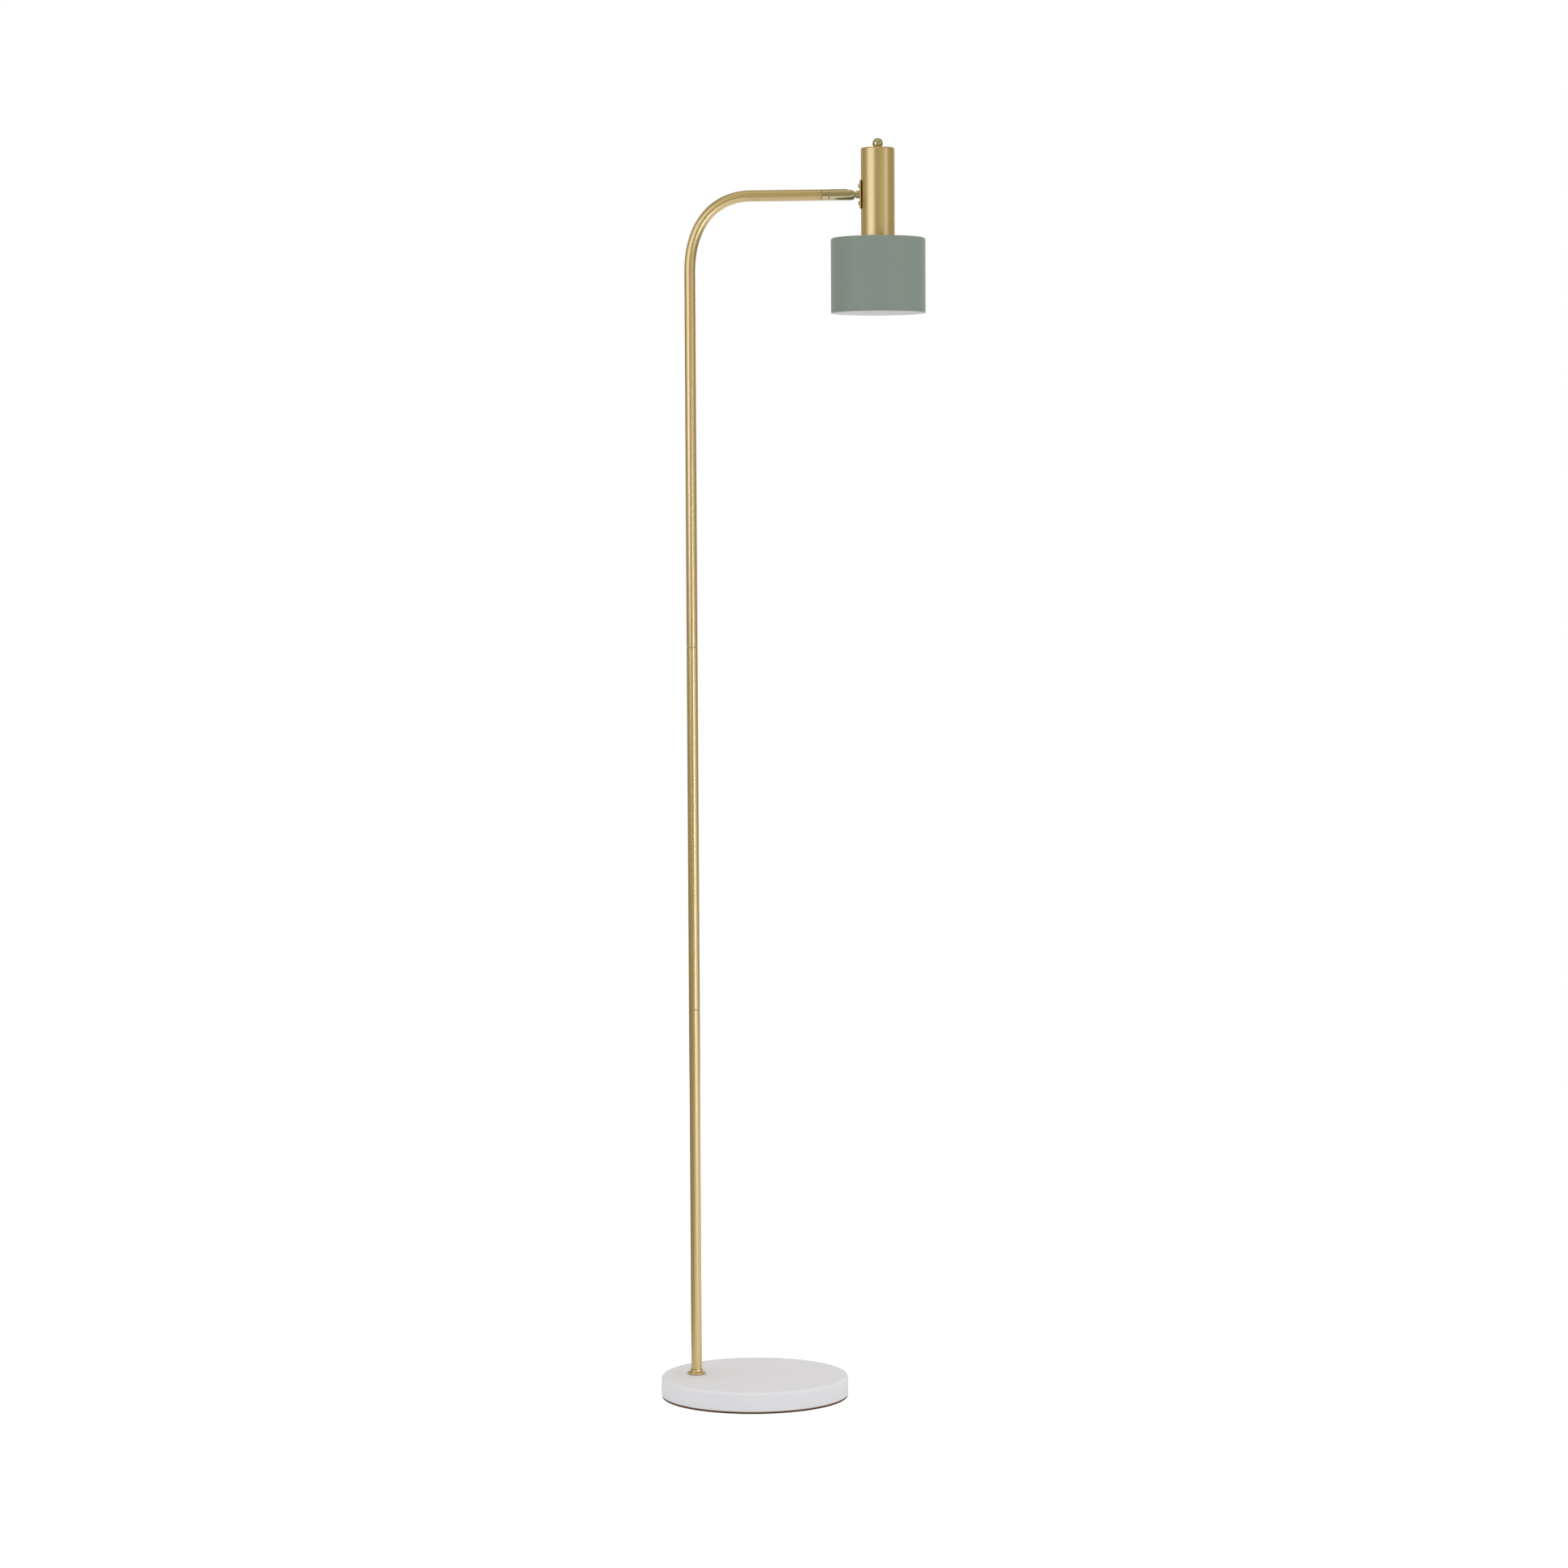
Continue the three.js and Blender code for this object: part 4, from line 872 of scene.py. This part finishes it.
housingShape = {
    "radius": 6.85, "rearHole": 3.5, "back": -24.3, "front": 5.9, "edge": 0.3, "chamfer": 3.2,
    "chamferEdge": 0.5, "mouth": 5.0, "mouthWall": 0.6, "mouthEdge": 0.15, "rearWall": 2.4,
    "socket": 5.7, "lip": 4.5, "slotHalf": 4.0,
}


def makeHousing():
    # A turned sleeve that narrows to its mouth, slotted along the top for the ball's neck.
    shape = housingShape
    radius, back, front, socket = shape["radius"], shape["back"], shape["front"], shape["socket"]
    bore = back + shape["rearWall"]
    lip = math.degrees(math.acos(shape["lip"] / socket))
    outline = [
        (shape["rearHole"], back, 2 * burr), (radius, back, shape["edge"]),
        (radius, front - shape["chamfer"], shape["chamferEdge"]),
        (shape["mouth"] + shape["mouthWall"], front, 2 * burr), (shape["mouth"], front, shape["mouthEdge"]),
        *arcPoints(0, 0, socket, lip, 0, 10),
        (socket, bore, 3 * burr), (shape["rearHole"], bore, burr),
    ]
    housing = turnedPiece("swivelHousing", outline)
    half = shape["slotHalf"]
    slot = [(front + past, -half), (front + past, half), *arcPoints(0, 0, half, 90, 270, 32)]
    cutter = prismPiece("slotCutter", slot, 0, radius + past)
    combine(housing, move(cutter, Matrix.Rotation(-math.pi / 2, 4, "Y")))
    fitPiece(housing, "swivel", "bright_brass", ["swivel_housing"], alongArm)


stemShape = {
    "ball": 5.4, "bore": 1.85, "neck": 3.6, "shoulder": 8.2, "shoulderEdge": 0.25, "spigot": 3.05,
    "groove": 2.5, "grooveFrom": 9.2, "grooveTo": 12.2, "end": 15.65,
}


def makeStem():
    shape = stemShape
    rear, front = (math.degrees(math.acos(shape[key] / shape["ball"])) for key in ("bore", "neck"))
    outline = [
        *arcPoints(0, 0, shape["ball"], -rear, front, 28),
        (shape["neck"], shape["shoulder"], shape["shoulderEdge"]),
        (shape["spigot"], shape["shoulder"], burr), (shape["spigot"], shape["grooveFrom"], burr),
        (shape["groove"], shape["grooveFrom"], burr), (shape["groove"], shape["grooveTo"], burr),
        (shape["spigot"], shape["grooveTo"], burr), (shape["spigot"], shape["end"], 2 * burr),
        (shape["bore"], shape["end"], burr),
    ]
    fitPiece(turnedPiece("ballStem", outline), "stem", "bright_brass", ["ball_stem"], alongArm)


makeCollar()
makeHousing()
makeStem()
print("joint ready")

plateShape = {
    "halfWidth": 10.0, "halfHeight": 17.0, "corner": 1.6, "thickness": 1.8, "edge": 0.35, "boss": 4.8,
    "bossLength": 4.4, "bossBore": 3.35, "screwHole": 2.2, "grubHole": 1.35, "pitch": 21.0,
}


def platePlace():
    # The plate and its screws are made about +Z along the arm, with the plate's outer face at zero.
    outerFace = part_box("head_plate")[0].x + plateShape["bossLength"] * mm
    return Matrix.Translation((outerFace, 0, ballMiddle.z)) @ Matrix.Rotation(math.pi / 2, 4, "Y")


def breakFlatEdges(plate, size):
    builder = bmesh.new()
    builder.from_mesh(plate.data)
    flat = [edge for edge in builder.edges if abs(edge.verts[0].co.z - edge.verts[1].co.z) < 1e-7]
    bmesh.ops.bevel(builder, geom=flat, offset=size, segments=3, affect="EDGES", profile=0.5)
    builder.to_mesh(plate.data)
    builder.free()


def makePlate():
    shape = plateShape
    thick, boss, length = shape["thickness"], shape["boss"], shape["bossLength"]
    corners = roundedRectangle(shape["halfHeight"], shape["halfWidth"], shape["corner"])
    plate = prismPiece("headPlate", corners, 0, thick)
    breakFlatEdges(plate, shape["edge"] * mm)
    bossOutline = [(0, thick / 2), (boss, thick / 2), (boss, -length, shape["edge"]), (0, -length)]
    combine(plate, turnedPiece("boss", bossOutline, 96), operation="UNION")
    low, high = -length - past, thick + past
    tools = [drill(shape["bossBore"], low, high, segments=64)]
    for side in (-1, 1):
        place = Matrix.Translation((side * shape["pitch"] / 2 * mm, 0, 0))
        tools.append(drill(shape["screwHole"], low, high, place))
    across = Matrix.Translation((0, 0, -length / 2 * mm)) @ Matrix.Rotation(math.pi / 2, 4, "X")
    combine(plate, *tools, drill(shape["grubHole"], 0, boss + past, across))
    fitPiece(plate, "head", "pole_brass", ["head_plate"], platePlace())


domeShape = {
    "head": 3.2, "rise": 2.3, "gap": 0.3, "shank": 1.9, "crossWidth": 0.95, "crossReach": 1.9,
    "crossDepth": 1.5, "turn": 20, "turnBetween": 35,  # degrees that the crosses are left at
}


def makeDomeScrew(name, node, side):
    # A shallow dome with a cross recess, on a plain shank.
    shape = domeShape
    sphere = (shape["head"] ** 2 + shape["rise"] ** 2) / (2 * shape["rise"])
    edge = math.degrees(math.acos(shape["head"] / sphere))
    top = shape["rise"] + shape["gap"]
    dome = arcPoints(0, top - sphere, sphere, 90, edge, 14)
    dome[0] = (0, dome[0][1])
    shank = (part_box(node)[1].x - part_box("head_plate")[1].x) / mm + plateShape["thickness"]
    outline = [*dome, (shape["shank"], shape["gap"], burr), (shape["shank"], -shank, 3 * burr), (0, -shank)]
    screw = turnedPiece(name, outline, 96)
    half, reach, floor = shape["crossWidth"] / 2, shape["crossReach"], top - shape["crossDepth"]
    slots = [
        prismPiece("slot", boxCorners(-wide, -tall, wide, tall), floor, top + past)
        for wide, tall in ((reach, half), (half, reach))
    ]
    combine(screw, *slots)
    flip = Matrix.Rotation(math.pi, 4, "X")
    offset = Matrix.Translation((-side * plateShape["pitch"] / 2 * mm, 0, 0))
    twist = Matrix.Rotation(math.radians(shape["turn"] + shape["turnBetween"] * side), 4, "Z")
    fitPiece(screw, "head", "pole_brass", [node], platePlace() @ offset @ flip @ twist)


grubShape = {"radius": 1.2, "hex": 0.62, "depth": 1.0, "point": 0.25, "rim": 0.15}


def makeGrubScrew():
    shape = grubShape
    low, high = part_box("boss_screw")
    length = (high.y - low.y) / mm
    radius = shape["radius"]
    outline = [(0, 0), (radius, 0, shape["point"]), (radius, length, shape["rim"]), (0, length)]
    screw = turnedPiece("bossScrew", outline, 64)
    corners = arcPoints(0, 0, shape["hex"] / math.cos(math.pi / 6), 0, 300, 5)
    combine(screw, prismPiece("key", corners, length - shape["depth"], length + past))
    middle = (low + high) / 2
    place = Matrix.Translation((middle.x, high.y, middle.z)) @ Matrix.Rotation(math.pi / 2, 4, "X")
    fitPiece(screw, "head", "spring_steel", ["boss_screw"], place)


makePlate()
makeDomeScrew("plateScrewUpper", "head_plate_screw_upper", 1)
makeDomeScrew("plateScrewLower", "head_plate_screw_lower", -1)
makeGrubScrew()
print("head plate ready")

tubeShape = {
    "radius": 20.5, "wall": 2.0, "edge": 1.8, "rodHole": 2.7, "stemHole": 3.65,
    "flat": 19.6, "flatHeight": 34.6,
}


def makeHeadTube():
    shape = tubeShape
    low, high = heights("head_tube")
    inner, ceiling = shape["radius"] - shape["wall"], high - shape["wall"]
    outline = [
        (0, ceiling), (inner, ceiling, shape["edge"] - shape["wall"]), (inner, low, 3 * burr),
        (shape["radius"], low, 3 * burr), (shape["radius"], high, shape["edge"]), (0, high),
    ]
    tube = turnedPiece("headTube", outline, 192, steps=8)
    arm, half, wide = ballMiddle.z / mm, shape["flatHeight"] / 2, shape["radius"] + past
    tools = [
        drill(shape["rodHole"], ceiling - past, high + past),
        prismPiece("flat", boxCorners(-wide, -wide, -shape["flat"], wide), arm - half, arm + half),
    ]
    screwAt, screwHole = plateShape["pitch"] / 2, plateShape["screwHole"]
    for offset, size in ((0, shape["stemHole"]), (screwAt, screwHole), (-screwAt, screwHole)):
        place = Matrix.Translation((0, 0, (arm + offset) * mm)) @ Matrix.Rotation(math.pi / 2, 4, "Y")
        tools.append(drill(size, -wide, past - inner, place))
    combine(tube, *tools)
    fitPiece(tube, "head", "pole_brass", ["head_tube"], headPlace)


finialShape = {"radius": 6.4, "bore": 2.7, "boreTop": 0.6}


def makeFinial():
    shape = finialShape
    low, high = heights("finial_ball")
    middle = high - shape["radius"]
    foot = math.degrees(math.asin((middle - low) / shape["radius"]))
    ball = arcPoints(0, middle, shape["radius"], -foot, 90, 40)
    ball[-1] = (0, high)
    end = middle + shape["boreTop"]
    finial = turnedPiece("finialBall", [(0, end), (shape["bore"], end), (shape["bore"], low), *ball], 96)
    fitPiece(finial, "head", "bright_brass", ["finial_ball"], headPlace)


shadeShape = {
    "radius": 57.3, "skin": 0.7, "lining": 0.45, "seam": 0.05, "edge": 2.5, "hole": 17.3, "hem": 0.3,
    "liningRise": 0.25, "liningHem": 0.15, "facets": 256,
}


def makeShade():
    # The sage outside and the white inside are two thin shells with a hair's gap between them.
    shape = shadeShape
    low, high = heights("shade")
    radius, skin, edge, hole = shape["radius"], shape["skin"], shape["edge"], shape["hole"]
    start = skin + shape["seam"]
    end = start + shape["lining"]
    hem, rise = shape["liningHem"], low + shape["liningRise"]
    outside = [
        (hole, high - skin, burr), (radius - skin, high - skin, edge - skin), (radius - skin, low, 2 * burr),
        (radius, low, shape["hem"]), (radius, high, edge), (hole, high, burr),
    ]
    lining = [
        (hole, high - end, burr), (radius - end, high - end, edge - end), (radius - end, rise, hem),
        (radius - start, rise, hem), (radius - start, high - start, edge - start), (hole, high - start, burr),
    ]
    for name, outline, slotName in (
        ("shadeOutside", outside, "shade_paint"), ("shadeLining", lining, "shade_lining"),
    ):
        shell = turnedPiece(name, outline, shape["facets"], steps=8)
        fitPiece(shell, "head", slotName, ["shade"], headPlace)


makeHeadTube()
makeFinial()
makeShade()
print("head and shade ready")


def thread(root, depth, pitch, low, high):
    # Depth fades in and out at the ends, so that the ends stay plain circles.
    def profile(angle, height, radius):
        if radius < root or not low < height < high:
            return radius
        fade = min(1, (height - low) / pitch, (high - height) / pitch)
        return radius - depth * fade * (0.5 - 0.5 * math.cos(2 * math.pi * (height / pitch) - angle))

    return profile


def evenPoints(radius, low, high, step):
    count = max(2, round((high - low) / step))
    return [(radius, low + (high - low) * index / count) for index in range(count + 1)]


holderShape = {
    "radius": 17.0, "bore": 15.0, "wall": 2.0, "skirt": 36.0, "top": 10.0, "roof": 4.3, "pitch": 2.8,
    "thread": 0.55, "threadFrom": 2.0, "threadTo": 20.0, "edge": 0.4, "skirtEdge": 1.0, "topEdge": 0.8,
    "innerEdge": 0.5, "rodHole": 2.7, "leadHole": 1.85, "leadOffset": -6.5,
}


def makeHolder():
    shape = holderShape
    low, high = heights("lamp_holder")
    skirt, wall, roof = low + shape["skirt"], shape["wall"], high - shape["roof"]
    threadLow, threadHigh = low + shape["threadFrom"], low + shape["threadTo"]
    outline = [
        (0, high), (shape["top"], high, shape["topEdge"]), (shape["radius"], skirt, shape["skirtEdge"]),
        *reversed(evenPoints(shape["radius"], threadLow, threadHigh, shape["pitch"] / 8)),
        (shape["radius"], low, shape["edge"]), (shape["bore"], low, shape["edge"]),
        (shape["bore"], skirt - wall, shape["innerEdge"]),
        (shape["top"] - wall, roof, shape["innerEdge"]), (0, roof),
    ]
    cut = thread(shape["radius"] - burr, shape["thread"], shape["pitch"], threadLow, threadHigh)
    holder = turnedPiece("lampHolder", outline, shape=cut)
    tools = [
        drill(size, skirt, high + past, Matrix.Translation((x * mm, 0, 0)), 40)
        for x, size in ((0, shape["rodHole"]), (shape["leadOffset"], shape["leadHole"]))
    ]
    combine(holder, *tools)
    fitPiece(holder, "head", "holder_plastic", ["lamp_holder"], headPlace)


ringShape = {
    "bore": 17.3, "radius": 21.8, "ribs": 40, "ribDepth": 0.5, "ribFoot": 1.5, "edge": 0.5, "facets": 400,
}


def makeRing():
    shape = ringShape
    low, high = heights("shade_ring")
    bore, outer, edge = shape["bore"], shape["radius"], shape["edge"]

    def ribs(angle, height, radius):
        if radius < outer - shape["ribFoot"]:
            return radius
        return radius - shape["ribDepth"] * (0.5 - 0.5 * math.cos(shape["ribs"] * angle)) ** 2

    outline = [(bore, low, 3 * burr), (outer, low, edge), (outer, high, edge), (bore, high, 3 * burr)]
    ring = turnedPiece("shadeRing", outline, shape["facets"], shape=ribs)
    fitPiece(ring, "head", "holder_plastic", ["shade_ring"], headPlace)


capShape = {
    "radius": 13.1, "pitch": 3.6, "thread": 0.55, "threadGap": 0.6, "tip": 4.2, "tipLength": 2.0,
    "tipEdge": 0.4, "neckBand": 3.5, "shoulderEdge": 0.5,
}


def makeBulbCap():
    shape = capShape
    low, high = heights("bulb_cap")
    top = high - shape["tipLength"]
    shoulder = top - shape["tipLength"]
    bandTop = low + shape["neckBand"]
    outline = [
        (0, low), (shape["radius"], low, 3 * burr), (shape["radius"], bandTop),
        *evenPoints(shape["radius"], bandTop + 2 * burr, shoulder - shape["threadGap"], shape["pitch"] / 10),
        (shape["radius"] - 3 * burr, shoulder, shape["shoulderEdge"]), (shape["tip"], top, shape["tipEdge"]),
        (shape["tip"] / 2, high, shape["tipEdge"]), (0, high),
    ]
    cut = thread(shape["radius"] - burr, shape["thread"], shape["pitch"], bandTop, shoulder)
    fitPiece(turnedPiece("bulbCap", outline, shape=cut), "head", "cap_aluminium", ["bulb_cap"], headPlace)


globeShape = {"radius": 22.5, "neck": 12.0, "wall": 1.0, "fillet": 1.5}


def makeGlobe():
    shape = globeShape
    low, high = heights("bulb_glass")
    radius, wall, neck = shape["radius"], shape["wall"], shape["neck"]
    middle, inner = low + radius, neck - wall
    outerTurn = math.degrees(math.acos(neck / radius))
    innerTurn = math.degrees(math.acos(inner / (radius - wall)))
    outside = arcPoints(0, middle, radius, -90, outerTurn, 44)
    inside = arcPoints(0, middle, radius - wall, innerTurn, -90, 40)
    outside[0], inside[-1] = (0, outside[0][1]), (0, inside[-1][1])
    # A short fillet runs from the ball into the neck.
    bend = (*outside[-1], shape["fillet"])
    outline = [*outside[:-1], bend, (neck, high, 3 * burr), (inner, high, 3 * burr), *inside]
    fitPiece(turnedPiece("bulbGlobe", outline), "head", "bulb_opal", ["bulb_glass"], headPlace)


makeHolder()
makeRing()
makeBulbCap()
makeGlobe()
print("holder and bulb ready")


def finishSolids():
    slots = {row["node"]: row["material_slot"] for row in frame["record"]["subparts"]}
    shown = [name for name, solid in frame["nodes"].items() if not solid.hide_render]
    for name in shown:
        frame["nodes"][name].material_slots[0].material = finishFor(slots[name], own=False)
    print("carried-over solids finished:", len(shown))


finishSolids()
print("finishes made:", len(finishes))

# Plain paper; its left side, by place along X, carries painted shade that only glossy surfaces see when they
# mirror it.
floorShape = {
    "radius": 3.2, "height": -0.0002, "facets": 128, "albedo": 0.86, "roughness": 0.9, "gloss": 0.1,
    "lift": 0.45, "dim": 0.35, "dimFrom": -0.5, "dimTo": -0.15,
}


def makeFloor():
    shape = floorShape
    builder = bmesh.new()
    middle = builder.verts.new((0, 0, shape["height"]))

    def place(angle):
        return shape["radius"] * math.cos(angle), shape["radius"] * math.sin(angle), shape["height"]

    bridge(builder, [middle], addRing(builder, shape["facets"], place))
    floor = linkMesh("studioFloor", builder, closed=False)
    material, tree, shader = startMaterial(
        "floorPaper", Roughness=shape["roughness"], Specular_IOR_Level=shape["gloss"],
        Emission_Color=(1, 1, 1, 1),
    )
    path = addNode(tree, "ShaderNodeLightPath").outputs
    x = splitVector(tree, coordinates(tree, own=False))[0]
    # painted shade: the paper turns darker towards the left, but only in glossy reflections
    mirroredShadeMask = times(tree, path["Is Glossy Ray"], remap(tree, x, shape["dimFrom"], shape["dimTo"], 1.0, 0.0))
    plain, dim = (opaque((shape["albedo"] * share,) * 3) for share in (1, shape["dim"]))
    feed(tree, shader.inputs["Base Color"], mix(tree, mirroredShadeMask, plain, dim))
    feed(tree, shader.inputs["Emission Strength"], times(tree, path["Is Camera Ray"], shape["lift"]))
    floor.data.materials.append(material)


# White to the eye and nearly even on matte surfaces; darker and warmer, by height, where metal mirrors it.
roomLight = {
    "seen": 1.0, "matte": 1.0, "lean": (0.07, -0.09, 0.0), "glossLow": 0.26, "glossHigh": 0.46,
    "glossTop": 0.85, "glossFrom": -0.09, "glossTo": 0.08, "topFrom": 0.15, "topTo": 0.8,
    "glossTint": (1.0, 0.915, 0.65),
}


def makeRoom():
    room = roomLight
    world = bpy.data.worlds.new("studio")
    bpy.context.scene.world = world
    world.use_nodes = True
    tree = world.node_tree
    background = tree.nodes["Background"].inputs
    path = addNode(tree, "ShaderNodeLightPath").outputs
    toward = addNode(tree, "ShaderNodeTexCoord").outputs["Generated"]
    height = splitVector(tree, toward)[2]
    matte = plus(tree, dotProduct(tree, toward, room["lean"]), room["matte"])
    low = remap(tree, height, room["glossFrom"], room["glossTo"], room["glossLow"], room["glossHigh"])
    gloss = times(tree, low, remap(tree, height, room["topFrom"], room["topTo"], 1.0, room["glossTop"]))
    strength = mix(tree, path["Is Glossy Ray"], matte, gloss, "FLOAT")
    feed(tree, background["Strength"], mix(tree, path["Is Camera Ray"], strength, room["seen"], "FLOAT"))
    white, tint = opaque((1, 1, 1)), opaque(room["glossTint"])
    feed(tree, background["Color"], mix(tree, path["Is Glossy Ray"], white, tint))


makeFloor()
makeRoom()
print("studio ready")
